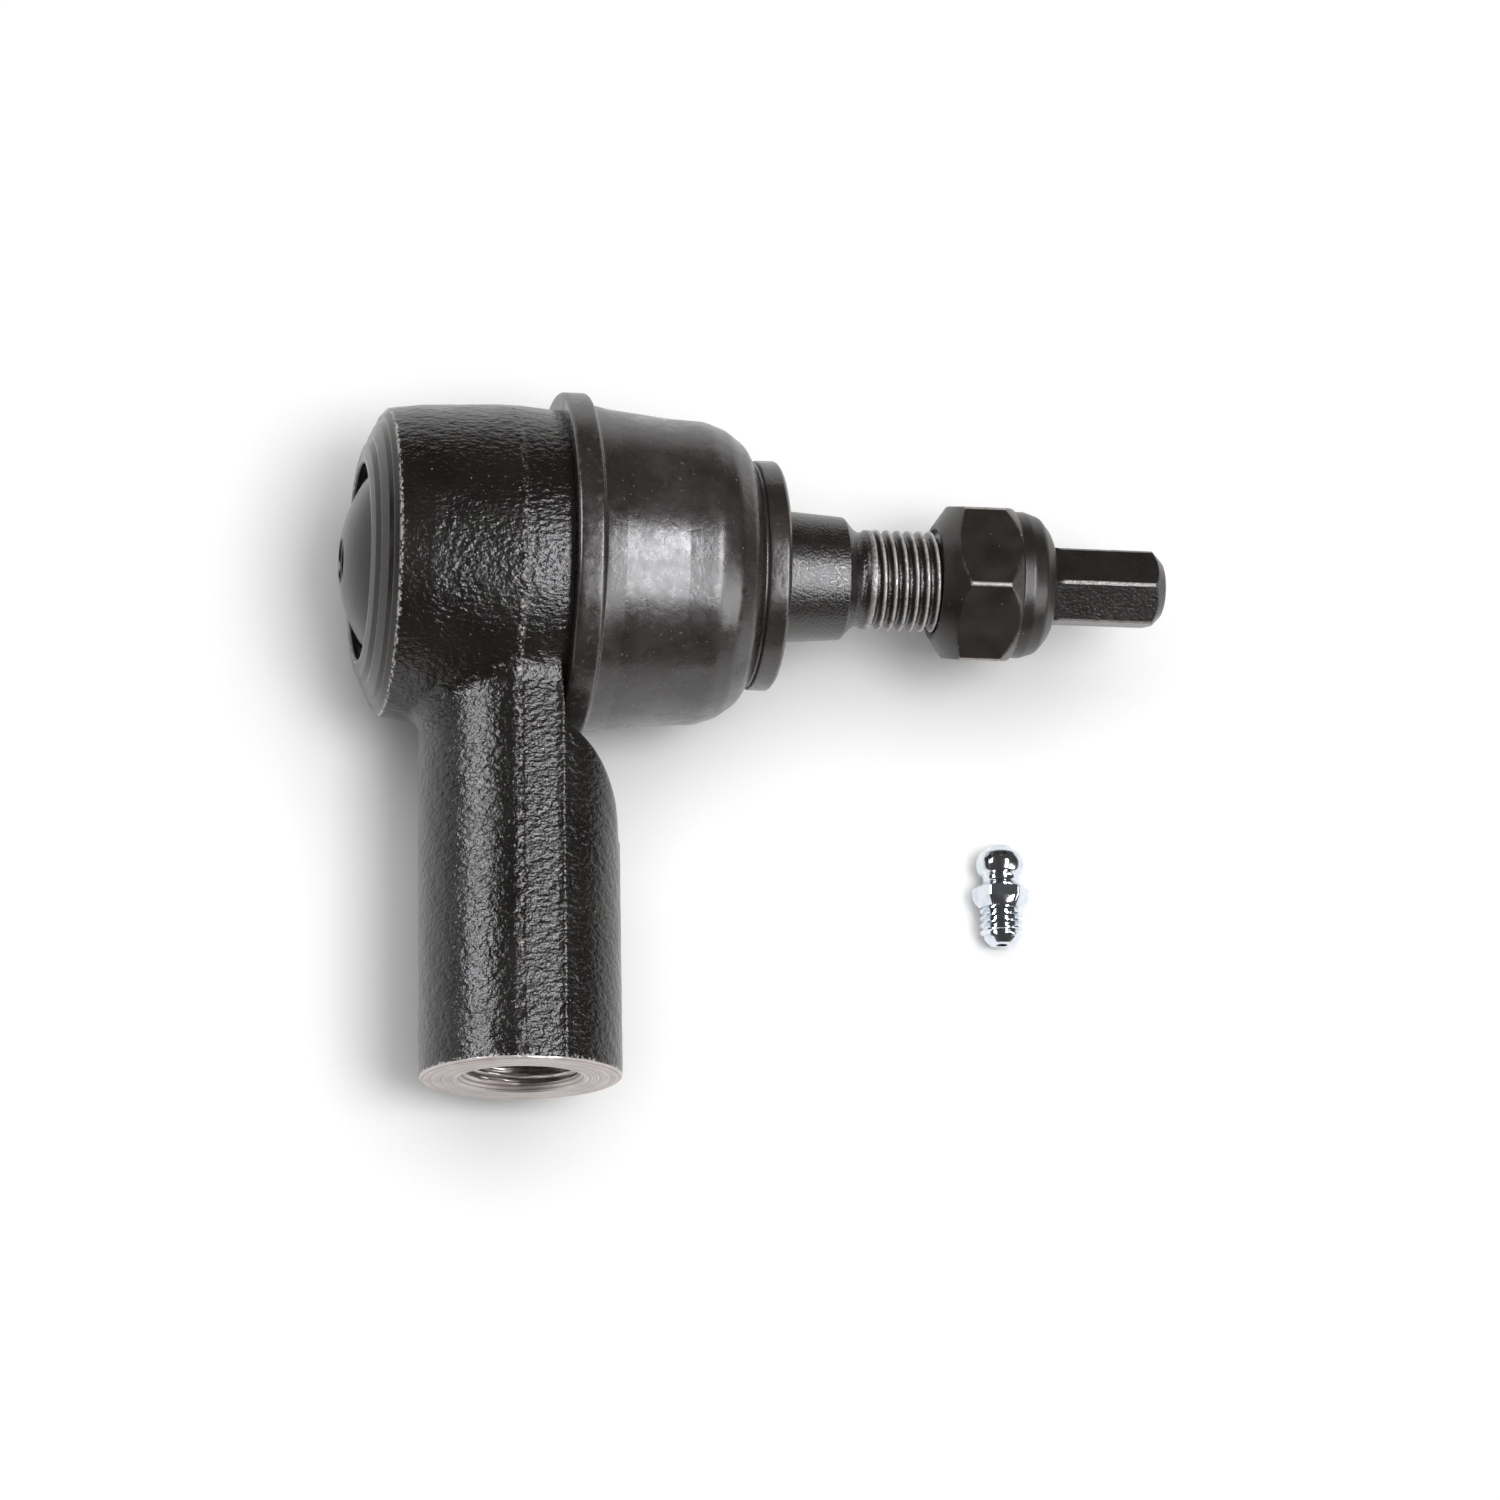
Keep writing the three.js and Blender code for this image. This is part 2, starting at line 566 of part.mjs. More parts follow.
function fittingBody() {
  const headEnd = solid(turned([
    [0, FITTING_HEX_START + 0.2],
    [3.1, FITTING_HEX_START + 0.2],
    [3.1, FITTING_HEX_END + 0.1],
    [FITTING_NECK_RADIUS, FITTING_HEX_END + 1.2],
    [FITTING_NECK_RADIUS, FITTING_LENGTH - 4.3],
    [FITTING_HEAD_RADIUS - 0.3, FITTING_LENGTH - 3.3],
    [FITTING_HEAD_RADIUS, FITTING_LENGTH - 2.6],
    [FITTING_HEAD_RADIUS, FITTING_LENGTH - 2],
    [FITTING_NECK_RADIUS, FITTING_LENGTH - 0.3],
    [FITTING_NECK_RADIUS - 0.3, FITTING_LENGTH],
    [0, FITTING_LENGTH],
  ], SMALL_SEGMENTS));
  const threadedEnd = solid(turned([
    [0, 0],
    [FITTING_MINOR - 0.5, 0],
    [FITTING_MINOR, 0.6],
    [FITTING_MINOR, FITTING_HEX_START + 1],
    [0, FITTING_HEX_START + 1],
  ], THREAD_SEGMENTS));
  const corner = FITTING_HEX_FLATS / Math.sqrt(3);
  const hexEnvelope = solid(turned([
    [0, FITTING_HEX_START - 1],
    [FITTING_HEX_FLATS / 2 - 1, FITTING_HEX_START - 1],
    [corner + 0.2, FITTING_HEX_START + 0.7],
    [corner + 0.2, FITTING_HEX_END - 0.7],
    [FITTING_HEX_FLATS / 2 - 1, FITTING_HEX_END + 1],
    [0, FITTING_HEX_END + 1],
  ], SMALL_SEGMENTS));
  const hex = hexPrism(FITTING_HEX_FLATS, FITTING_HEX_START, FITTING_HEX_END, 30).intersect(hexEnvelope);
  const ridge = threadRidge(
    FITTING_MINOR, FITTING_MAJOR, FITTING_PITCH, -0.5 * FITTING_PITCH, FITTING_HEX_START);
  const ridgeEnvelope = solid(turned([
    [0, 0.2],
    [FITTING_MINOR - 0.2, 0.2],
    [FITTING_MAJOR + 0.2, 1.1],
    [FITTING_MAJOR + 0.2, FITTING_HEX_START + 0.5],
    [0, FITTING_HEX_START + 0.5],
  ], THREAD_SEGMENTS));
  const passage = solid(turned([
    [0, -1],
    [FITTING_CRIMP, -1],
    [FITTING_CRIMP, 0.5],
    [FITTING_BORE, 0.8],
    [FITTING_BORE, FITTING_LENGTH - 1.6],
    [FITTING_CRIMP, FITTING_LENGTH - 0.6],
    [FITTING_CRIMP, FITTING_LENGTH + 1],
    [0, FITTING_LENGTH + 1],
  ], THREAD_SEGMENTS));
  const body = headEnd.add(hex).add(threadedEnd).add(ridge.intersect(ridgeEnvelope)).subtract(passage);
  return node('grease_fitting', body, 0xc9cdd2, 0.25, 1);
}

const CHECK_BALL_CENTRE = FITTING_LENGTH - 2;

function checkBall() {
  const ball = new THREE.SphereGeometry(CHECK_BALL_RADIUS, 12, 8);
  ball.translate(CHECK_BALL_CENTRE, 0, 0);
  return node('grease_fitting_ball', solid(ball), 0xd8dadd, 0.2, 1);
}

class SpringCurve extends THREE.Curve {
  getPoint(t, target = new THREE.Vector3()) {
    const start = 0.8 + 2 * SPRING_WIRE;
    const end = CHECK_BALL_CENTRE - CHECK_BALL_RADIUS - SPRING_WIRE;
    const angle = 2 * Math.PI * SPRING_TURNS * t;
    return target.set(
      start + (end - start) * t, SPRING_RADIUS * Math.cos(angle), SPRING_RADIUS * Math.sin(angle));
  }
}

function checkSpring() {
  const section = new THREE.Shape();
  section.absarc(0, 0, SPRING_WIRE, 0, 2 * Math.PI, false);
  const wire = new THREE.ExtrudeGeometry(section, {
    steps: SPRING_TURNS * 8, curveSegments: 3, bevelEnabled: false, extrudePath: new SpringCurve(),
  });
  return node('grease_fitting_spring', solid(wire), 0xb9babc, 0.3, 1);
}

// ---------- assembly ----------

const joint = new THREE.Group();
joint.add(housing());
joint.add(ballStud());
joint.add(upperBearing());
joint.add(lowerBearing());
joint.add(preloadWasher());
joint.add(coverPlate());
joint.add(dustBoot());
joint.add(bootBaseRing());
joint.add(bootNeckRing());
joint.add(lockNut());
joint.add(lockNutInsert());

const fitting = new THREE.Group();
fitting.add(fittingBody());
fitting.add(checkBall());
fitting.add(checkSpring());
fitting.position.set(...FITTING_PLACE);
fitting.rotation.z = Math.PI / 2;
joint.add(fitting);

// The origin is the bottom centre of the bounding box. The cover's greatest reach is the rim of its hole.
joint.position.set(-(COVER_REACH + STUD_TIP) / 2, -(FLANGE_RADIUS + SHANK_END) / 2, FLANGE_RADIUS);

const tieRodEnd = new THREE.Group();
tieRodEnd.add(joint);

export default tieRodEnd;
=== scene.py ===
"""Looks of a tie rod end: forged housing, ball stud, dust boot, locking nut and loose grease fitting.

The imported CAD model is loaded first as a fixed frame. Every piece below is worked out in millimetres about
the ball's centre, with x along the stud, y along the shank and z up, and is put into its mesh in metres.
"""

import json
import math

import bpy
import numpy as np
from bpy.props import FloatProperty, FloatVectorProperty, PointerProperty
from mathutils import Matrix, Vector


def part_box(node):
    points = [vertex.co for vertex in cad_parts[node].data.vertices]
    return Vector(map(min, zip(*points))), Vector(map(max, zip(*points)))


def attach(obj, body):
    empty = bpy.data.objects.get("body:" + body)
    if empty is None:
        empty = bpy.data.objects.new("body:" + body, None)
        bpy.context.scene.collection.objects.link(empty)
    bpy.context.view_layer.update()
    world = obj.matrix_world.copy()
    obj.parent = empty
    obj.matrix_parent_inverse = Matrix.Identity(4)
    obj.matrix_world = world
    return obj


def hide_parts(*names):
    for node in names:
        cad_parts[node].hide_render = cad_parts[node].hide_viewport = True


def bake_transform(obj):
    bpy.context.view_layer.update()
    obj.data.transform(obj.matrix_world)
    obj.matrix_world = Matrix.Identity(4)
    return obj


bl_info = {
    "name": "Tie Rod End",
    "version": (1, 0, 0),
    "blender": (4, 5, 0),
    "location": "View3D > Sidebar > Tie Rod End",
    "description": "Builds the visible surfaces and finishes of a tie rod end around its CAD frame",
    "category": "Object",
}

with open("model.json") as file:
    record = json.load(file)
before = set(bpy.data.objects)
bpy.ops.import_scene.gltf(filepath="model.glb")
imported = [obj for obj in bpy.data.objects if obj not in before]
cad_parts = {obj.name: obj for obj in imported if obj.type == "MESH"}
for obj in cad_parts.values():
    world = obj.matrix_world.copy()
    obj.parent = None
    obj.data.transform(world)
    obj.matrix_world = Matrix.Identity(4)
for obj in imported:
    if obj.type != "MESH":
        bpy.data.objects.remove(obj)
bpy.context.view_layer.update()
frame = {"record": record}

MM = 0.001
TAU = 2 * math.pi
BALL_CENTRE = np.array(
    next(
        joint["pos_m"]
        for joint in frame["record"]["behaviour"]["joints"]
        if joint["name"] == "stud_swing"
    )
)

# Where the forging's features lie, in millimetres from the ball's centre
BARREL_LEFT = -18.3            # end of the painted barrel on the cover's side
BARREL_RIGHT = 4.6             # and on the boot's side
LIP_RIM = -21.6                # outer face of the rolled lip
LIP_OPENING = 13.3             # radius inside the lip
SPIGOT_RADIUS = 19.4
SPIGOT_END = 10.5
SHANK_END = -71.2
SHANK_THREAD_MINOR = 7.25      # radii of the shank's thread
SHANK_THREAD_MAJOR = 8.0
COUNTERSINK_RADIUS = 8.6
SEAM_X = -1.9                  # the parting line of the dies
FLASH_DEPTH = 13.2             # from the shank's axis to the flats where the flash was trimmed
FLASH_EDGE = 3.1               # from the middle of a flat to its edges
FLASH_TILT = math.radians(5)


def half_height(node):
    """Half of a CAD node's height, in metres: the radius of a piece turned about x."""
    low, high = np.array(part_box(node))
    return float(high[2] - low[2]) / 2


# ---- sizes and colours


class ForgingSizes(bpy.types.PropertyGroup):
    """Sizes of the forged and machined housing."""

    barrel_radius: FloatProperty(
        name="Barrel radius", description="Largest radius of the barrel", unit="LENGTH",
        default=half_height("housing"),
    )
    shank_radius: FloatProperty(
        name="Shank radius", description="Radius of the round shank", unit="LENGTH", default=0.01355,
    )
    blend_radius: FloatProperty(
        name="Blend", description="How far the shank flows into the barrel", unit="LENGTH", default=0.0021,
    )
    skin_step: FloatProperty(
        name="Skin step", description="Spacing of the forged skin's vertices", unit="LENGTH", default=0.00045,
    )


class BootSizes(bpy.types.PropertyGroup):
    """Sizes of the rubber dust boot."""

    flange_radius: FloatProperty(
        name="Flange radius", description="Radius of the wide flange", unit="LENGTH",
        default=half_height("dust_boot"),
    )
    wall: FloatProperty(
        name="Wall", description="Thickness of the rubber", unit="LENGTH", default=0.002,
    )


class StudSizes(bpy.types.PropertyGroup):
    """Sizes of the ball stud's thread and tip, and of its nut."""

    thread_major: FloatProperty(
        name="Thread radius", description="Radius over the thread's crests", unit="LENGTH", default=0.00693,
    )
    thread_pitch: FloatProperty(
        name="Pitch", description="Distance between two crests", unit="LENGTH", default=0.0015,
    )
    nut_flats: FloatProperty(
        name="Nut size", description="Distance across the nut's flats", unit="LENGTH", default=0.021,
    )
    tip_flats: FloatProperty(
        name="Tip size", description="Distance across the stud tip's flats", unit="LENGTH", default=0.0101,
    )


class Finishes(bpy.types.PropertyGroup):
    """Main colours of the finishes, in linear values."""


FINISH_COLOURS = {
    "paint": ("Black paint", "Colour of the paint on the forging", "#13100e"),
    "rubber": ("Rubber", "Colour of the dust boot", "#221e1c"),
    "phosphate": ("Phosphate", "Colour of the stud's black phosphate", "#1d1a18"),
    "oxide": ("Black oxide", "Colour of the nut", "#1e1a17"),
    "bare_steel": ("Bare steel", "Colour of freshly machined steel", "#cdc6c4"),
    "zinc": ("Zinc", "Colour of the bright zinc plate", "#e3e8ee"),
}


def linear(hex_colour, alpha=1.0):
    """Turn an sRGB hex colour into Blender's linear values."""
    steps = [int(hex_colour[i : i + 2], 16) / 255 for i in (1, 3, 5)]
    return tuple(c / 12.92 if c <= 0.04045 else ((c + 0.055) / 1.055) ** 2.4 for c in steps) + (alpha,)


for finish, (label, words, shade) in FINISH_COLOURS.items():
    Finishes.__annotations__[finish] = FloatVectorProperty(
        name=label, description=words, subtype="COLOR", size=4, min=0, max=1, default=linear(shade),
    )


class StageSettings(bpy.types.PropertyGroup):
    """Where the camera stands and how strong the lamps are."""

    yaw: FloatProperty(
        name="Yaw", description="Turn of the camera towards the cover", subtype="ANGLE",
        default=math.radians(10.7),
    )
    pitch: FloatProperty(
        name="Pitch", description="Tilt of the camera towards the shank", subtype="ANGLE",
        default=math.radians(15.1),
    )
    roll: FloatProperty(
        name="Roll", description="Turn of the camera about its own axis", subtype="ANGLE",
        default=math.radians(1.05),
    )
    distance: FloatProperty(
        name="Distance", description="From the camera to the ball", unit="LENGTH", default=0.8,
    )
    lens: FloatProperty(name="Lens", description="Focal length in millimetres", default=141.0)
    lamp_power: FloatProperty(name="Lamps", description="Brightness of all lamps together", default=1.0)


# ---- surfaces


def rounded(corners, steps=6):
    """Profile through corners (x, r, rounding), each corner replaced by an arc tangent to both its sides.

    The arc of radius R in a corner of inner angle a starts R / tan(a / 2) before the corner and turns by
    180 degrees minus a.
    """
    points = np.array([c[:2] for c in corners], float)
    roundings = [c[2] if len(c) > 2 else 0.0 for c in corners]
    path = []
    for i, (point, radius) in enumerate(zip(points, roundings)):
        if radius <= 0 or i in (0, len(points) - 1):
            path.append(point[None])
            continue
        back = points[i - 1] - point
        ahead = points[i + 1] - point
        back_length, ahead_length = np.linalg.norm(back), np.linalg.norm(ahead)
        back, ahead = back / back_length, ahead / ahead_length
        inner = math.acos(float(np.clip(back @ ahead, -1, 1)))
        if inner > math.pi - 0.02:
            path.append(point[None])
            continue
        reach_back = min(radius / math.tan(inner / 2), 0.49 * back_length, 0.49 * ahead_length)
        radius = reach_back * math.tan(inner / 2)
        middle = (back + ahead) / np.linalg.norm(back + ahead)
        centre = point + middle * radius / math.sin(inner / 2)
        start = point + back * reach_back - centre
        end = point + ahead * reach_back - centre
        turn = math.atan2(start[0] * end[1] - start[1] * end[0], float(start @ end))
        angles = np.linspace(0, turn, steps + 1)
        cos, sin = np.cos(angles), np.sin(angles)
        path.append(centre + np.stack([start[0] * cos - start[1] * sin, start[0] * sin + start[1] * cos], 1))
    return np.concatenate(path)


def filled_in(path, step):
    """The same profile with points added so that no side is longer than step; sides are cut evenly."""
    pieces = []
    for start, end in zip(path[:-1], path[1:]):
        count = max(1, math.ceil(float(np.linalg.norm(end - start)) / step))
        share = np.arange(count)[:, None] / count
        pieces.append(start + (end - start) * share)
    return np.concatenate(pieces + [path[-1:]])


def loop_mesh(name, positions, faces):
    """A mesh object from millimetre positions about the ball's centre."""
    mesh = bpy.data.meshes.new(name)
    mesh.from_pydata((positions * MM + BALL_CENTRE).tolist(), [], faces)
    mesh.validate()
    mesh.update()
    obj = bpy.data.objects.new(name, mesh)
    bpy.context.scene.collection.objects.link(obj)
    return obj


AXES = {
    "x": np.array([(1, 0, 0), (0, 1, 0), (0, 0, 1)], float),
    "y": np.array([(0, 1, 0), (0, 0, 1), (1, 0, 0)], float),
}


def grid_faces(rows, count, closed=False):
    """Faces between a grid's rows. Its columns close on themselves, and so do its rows if closed."""
    i, j = np.arange(rows if closed else rows - 1)[:, None], np.arange(count)
    up, after = (i + 1) % rows, np.roll(j, -1)
    corners = [i * count + j, i * count + after, up * count + after, up * count + j]
    return np.stack(corners, -1).reshape(-1, 4)


def turned(name, along, radius, angles=128, axis="x", place=(0, 0, 0), closed=False):
    """A surface turned about an axis: point(i, j) = place + along e1 + radius (cos a e2 + sin a e3).

    along and radius are arrays over the rows, or over rows and angles where a thread or a flat changes them.
    An open profile starts and ends on the axis and each end becomes one vertex; a closed one is a ring.
    """
    turn = np.arange(angles) * TAU / angles if np.isscalar(angles) else np.asarray(angles)
    count = len(turn)
    along = np.broadcast_to(np.asarray(along, float).reshape(len(along), -1), (len(along), count))
    radius = np.broadcast_to(np.asarray(radius, float).reshape(len(radius), -1), (len(radius), count))
    e1, e2, e3 = AXES[axis]
    ring = np.cos(turn)[:, None] * e2 + np.sin(turn)[:, None] * e3
    grid = np.asarray(place, float) + along[..., None] * e1 + radius[..., None] * ring
    rows = len(grid)
    if closed:
        return loop_mesh(name, grid.reshape(-1, 3), grid_faces(rows, count, True).tolist())
    inner = grid[1:-1].reshape(-1, 3)
    quads = grid_faces(rows - 2, count)
    j = np.arange(count)
    after = np.roll(j, -1)
    first, last = len(inner), len(inner) + 1
    start_fan = np.stack([np.full(count, first), after, j], 1)
    tail = (rows - 3) * count
    end_fan = np.stack([np.full(count, last), tail + j, tail + after], 1)
    positions = np.concatenate([inner, grid[:1, 0], grid[-1:, 0]])
    return loop_mesh(name, positions, quads.tolist() + start_fan.tolist() + end_fan.tolist())


def thread_height(along, angle, pitch, crest=0.14, root=0.22):
    """Height from 0 at the root to 1 at the crest of a right-hand thread.

    The phase along / pitch minus angle / turn runs from one crest to the next; its distance u from the
    crest, from 0 to 1, gives a flat crest, a straight flank and a flat root.
    """
    phase = along / pitch - angle / TAU
    u = 2 * np.abs(phase - np.round(phase))
    return np.clip((1 - root - u) / (1 - root - crest), 0, 1)


def hexagon(angle, flats, clocking):
    """Radius of a hexagon at an angle: half the flats over the cosine of the angle to the nearest flat."""
    sector = TAU / 6
    off = (angle - clocking + sector / 2) % sector - sector / 2
    return flats / 2 / np.cos(sector / 2 - np.abs(off))


def corner_angles(clocking):
    """Angles round a hexagon, close together at its six corners and wider on its flats."""
    side = np.array([0, 0.5, 1, 1.6, 2.3, 3.2, 4.4, 6, 8, 11, 15, 20, 25])
    offsets = np.radians(np.concatenate([-side[:0:-1], side, [30]]))
    return np.sort(((clocking + np.arange(6)[:, None] * TAU / 6 + offsets) % TAU).ravel())


def smooth_shade(obj, degrees=32):
    """Smooth faces, with edges sharper than the angle left crisp."""
    mesh = obj.data
    mesh.polygons.foreach_set("use_smooth", np.ones(len(mesh.polygons), bool))
    mesh.set_sharp_from_angle(angle=math.radians(degrees))
    mesh.update()


def face_centres(obj):
    """Face centres in millimetres from the ball's centre."""
    centres = np.empty(len(obj.data.polygons) * 3)
    obj.data.polygons.foreach_get("center", centres)
    return (centres.reshape(-1, 3) - BALL_CENTRE) / MM


def vertex_places(obj):
    """Vertex positions in millimetres from the ball's centre."""
    places = np.empty(len(obj.data.vertices) * 3)
    obj.data.vertices.foreach_get("co", places)
    return (places.reshape(-1, 3) - BALL_CENTRE) / MM


def paint_vertices(obj, name, values):
    """Store one number for each vertex, for a material to read."""
    layer = obj.data.attributes.new(name, "FLOAT", "POINT")
    layer.data.foreach_set("value", np.asarray(values, np.float32))


def clothe(obj, *materials):
    """Give a piece its materials, in slot order."""
    for material in materials:
        obj.data.materials.append(material)


def cut(target, tools):
    """Cut closed tools away from a closed target, and remove the tools."""
    whole = len(target.data.vertices)
    for tool in tools:
        modifier = target.modifiers.new(tool.name, "BOOLEAN")
        modifier.operation = "DIFFERENCE"
        modifier.solver = "MANIFOLD"
        modifier.object = tool
    evaluated = target.evaluated_get(bpy.context.evaluated_depsgraph_get())
    mesh = bpy.data.meshes.new_from_object(evaluated)
    if len(mesh.vertices) in (0, whole):
        raise RuntimeError(f"{target.name} was not cut")
    target.modifiers.clear()
    target.data = mesh
    mesh.materials.clear()
    for tool in tools:
        bpy.data.objects.remove(tool)


# ---- forged skin


def smooth_min(a, b, width):
    """The smaller of two fields, rounded over a width where they are close (a polynomial blend)."""
    h = np.clip(0.5 + 0.5 * (b - a) / width, 0, 1)
    return b + (a - b) * h - width * h * (1 - h)


def smooth_max(a, b, width):
    """The larger of two fields, rounded over a width."""
    return -smooth_min(-a, -b, width)


def ripple(x, y, z):
    """Uneven surface of a hot forging: a sum of slow waves in different directions, about one high."""
    return (
        np.sin(0.9 * x + 1.3 * y + 0.4) * np.cos(1.1 * z - 0.6 * y)
        + 0.6 * np.sin(2.3 * y - 1.7 * z + 1.1) * np.cos(1.9 * x + 0.8)
        + 0.4 * np.sin(3.7 * x + 2.9 * z) * np.cos(3.1 * y + 2.0)
    ) / 2


def forging_field(x, y, z, sizes):
    """Signed distance to the forging, negative inside, in millimetres.

    The barrel is a cylinder about x whose radius swells in the middle. The shank is a cylinder about y,
    limited by the round shoulder below the boot and by two flats where the flash was trimmed. The two
    are blended, and the parting line stands a little proud.
    """
    barrel_radius = sizes.barrel_radius / MM
    shank_radius = sizes.shank_radius / MM
    swell = np.interp(x, [-18.3, -14, -3, 0, 4.6], [-1.1, -0.5, 0, -0.1, -0.5])
    barrel = np.hypot(y, z) - barrel_radius - swell
    barrel = smooth_max(barrel, np.abs(x + 6) - 18, 0.5)
    shank = np.hypot(x, z) - shank_radius
    across = np.sin(FLASH_TILT) * x
    depth = np.maximum(across + np.cos(FLASH_TILT) * z, across - np.cos(FLASH_TILT) * z)
    shank = smooth_max(shank, depth - FLASH_DEPTH, 0.3)
    side = x * np.sign(z) - 13.5 * np.sin(FLASH_TILT)
    shank = shank - 0.22 * np.exp(-(((side - FLASH_EDGE) / 0.4) ** 2)) * (np.abs(z) > 8)
    shank = shank + 0.16 * np.exp(-(((side + FLASH_EDGE) / 0.28) ** 2)) * (np.abs(z) > 8)
    shoulder = np.hypot(np.maximum(x + 1.9, 0), y + 39) - 15.7
    shoulder = shoulder - 9 * np.clip((BARREL_RIGHT + 0.1 - x) / 0.8, 0, 1)
    shank = np.where(y > -39, smooth_max(shank, shoulder, 1.6), shank)
    shank = smooth_max(shank, np.abs(y + 37.5) - 35.5, 0.5)
    field = smooth_min(barrel, shank, sizes.blend_radius / MM)
    seam = 0.13 * np.exp(-(((x - SEAM_X - 0.15 * np.sin(1.7 * z)) / 0.3) ** 2))
    seam = seam * (np.abs(z) > 6) * (y < 14) * (0.6 + 0.4 * np.sin(2.1 * y + 1.3 * np.sin(3.1 * y)))
    return field - seam * (y > -22) + 0.05 * ripple(x, y, z)


def skin_of(field, low, step):
    """Surface of the zero level of a field on a grid, by surface nets.

    Each cell that the surface crosses gets one vertex, at the mean of the points where its edges cross.
    Each grid edge that crosses the surface gets one quad, joining the four cells round it.
    """
    shape = np.array(field.shape) - 1
    total = np.zeros((*shape, 3), np.float32)
    count = np.zeros(shape, np.float32)
    crossings = []
    for axis in range(3):
        others = [a for a in range(3) if a != axis]
        start = np.take(field, range(shape[axis]), axis)
        end = np.take(field, range(1, shape[axis] + 1), axis)
        crossed = (start < 0) != (end < 0)
        share = np.where(crossed, start / np.where(crossed, start - end, 1), 0)
        crossings.append((crossed, start < 0))
        for one in (0, 1):
            for two in (0, 1):
                window = [slice(None)] * 3
                window[others[0]] = slice(one, shape[others[0]] + one)
                window[others[1]] = slice(two, shape[others[1]] + two)
                hit = crossed[tuple(window)]
                total[..., axis] += share[tuple(window)]
                total[..., others[0]] += hit * one
                total[..., others[1]] += hit * two
                count += hit
    cells = np.argwhere(count > 0)
    number = np.full(tuple(shape), -1)
    number[tuple(cells.T)] = np.arange(len(cells))
    mean = total[tuple(cells.T)] / count[tuple(cells.T)][:, None]
    positions = np.asarray(low) + (cells + mean) * step
    quads = []
    for axis in range(3):
        crossed, inside = crossings[axis]
        b, c = (axis + 1) % 3, (axis + 2) % 3
        edges = np.argwhere(crossed)
        inner = (edges[:, [b, c]] > 0) & (edges[:, [b, c]] < shape[[b, c]])
        edges = edges[inner.all(1)]
        around = []
        for back_b, back_c in ((1, 1), (0, 1), (0, 0), (1, 0)):
            cell = edges.copy()
            cell[:, b] -= back_b
            cell[:, c] -= back_c
            around.append(number[tuple(cell.T)])
        around = np.stack(around, 1)
        outward = inside[tuple(edges.T)]
        quads.append(np.where(outward[:, None], around, around[:, ::-1]))
    return positions, np.concatenate(quads)


def forged_skin(sizes):
    """The forging before machining: surface nets over its field, then each vertex moved on to the field.

    A vertex moves against the gradient by the field over the gradient's squared length, three times.
    """
    step = sizes.skin_step / MM
    low = np.array([-25.0, -74.2, -24.0])
    high = np.array([15.5, 24.0, 24.0])
    lines = [np.arange(a, b, step, dtype=np.float32) for a, b in zip(low, high)]
    x, y, z = np.meshgrid(*lines, indexing="ij", sparse=True)
    positions, quads = skin_of(forging_field(x, y, z, sizes), low, step)
    small = 0.02
    for _ in range(3):
        value = forging_field(*positions.T, sizes)
        slope = np.stack(
            [(forging_field(*(positions + shift).T, sizes) - value) / small for shift in small * np.eye(3)], 1
        )
        positions = positions - slope * (value / np.maximum((slope**2).sum(1), 0.2))[:, None]
    return loop_mesh("housing_forging", positions, quads.tolist())


# ---- materials


def add_node(tree, kind, inputs=(), out=0, **settings):
    """Add one shader node and give back one of its outputs.

    inputs are numbers, colours or other nodes' outputs: a list fills the sockets in order, and a dict
    fills them by name or number. settings are the node's own properties.
    """
    node = tree.nodes.new("ShaderNode" + kind)
    for key, value in settings.items():
        setattr(node, key, value)
    for key, value in inputs.items() if isinstance(inputs, dict) else enumerate(inputs):
        if isinstance(value, bpy.types.NodeSocket):
            tree.links.new(value, node.inputs[key])
        else:
            node.inputs[key].default_value = value
    return node.outputs[out]


def new_material(name, **settings):
    """A material with one Principled shader that has the given values on its own sockets."""
    material = bpy.data.materials.new(name)
    material.use_nodes = True
    for key, value in settings.items():
        shader_of(material).inputs[key.replace("_", " ")].default_value = value
    return material, material.node_tree


def shader_of(material):
    """A material's Principled shader."""
    return next(node for node in material.node_tree.nodes if node.type == "BSDF_PRINCIPLED")


def finish(material, colour, height, depth_mm, roughness=None):
    """Feed a shader its colour, its roughness, and a bump whose height of 1 stands for depth_mm."""
    tree = material.node_tree
    normal = add_node(tree, "Bump", {"Height": height, "Strength": 1, "Distance": depth_mm * MM})
    for socket, source in (("Base Color", colour), ("Roughness", roughness), ("Normal", normal)):
        if source is not None:
            tree.links.new(source, shader_of(material).inputs[socket])
    return material


def about_ball(tree, scale=(1, 1, 1)):
    """Object coordinates measured from the ball's centre, then stretched by a scale."""
    place = add_node(tree, "VectorMath", [
        add_node(tree, "TexCoord", out="Object"), tuple(BALL_CENTRE)
    ], operation="SUBTRACT")
    return add_node(tree, "VectorMath", [place, scale], operation="MULTIPLY")


def distance_from(tree, x=0.0, y=0.0, z=0.0):
    """Distance from an axis: the length of the two coordinates that are given."""
    return add_node(
        tree, "VectorMath", [add_node(tree, "CombineXYZ", [x, y, z])], "Value", operation="LENGTH"
    )


def patches(tree, place, size_mm, detail, low, high, to_low=0, to_high=1):
    """Noise with features of size_mm, cut off between two levels: to_low in the gaps, to_high inside."""
    field = add_node(tree, "TexNoise", {"Vector": place, "Scale": 1 / (size_mm * MM), "Detail": detail})
    return add_node(tree, "MapRange", [field, low, high, to_low, to_high])


def stroke(tree, value, centre, inner, outer):
    """A line: 1 where a value is within inner of a centre, falling to 0 at outer, all in metres."""
    gap = add_node(tree, "Math", [value, centre], operation="SUBTRACT")
    return add_node(
        tree, "MapRange", [add_node(tree, "Math", [gap], operation="ABSOLUTE"), inner, outer, 1, 0]
    )


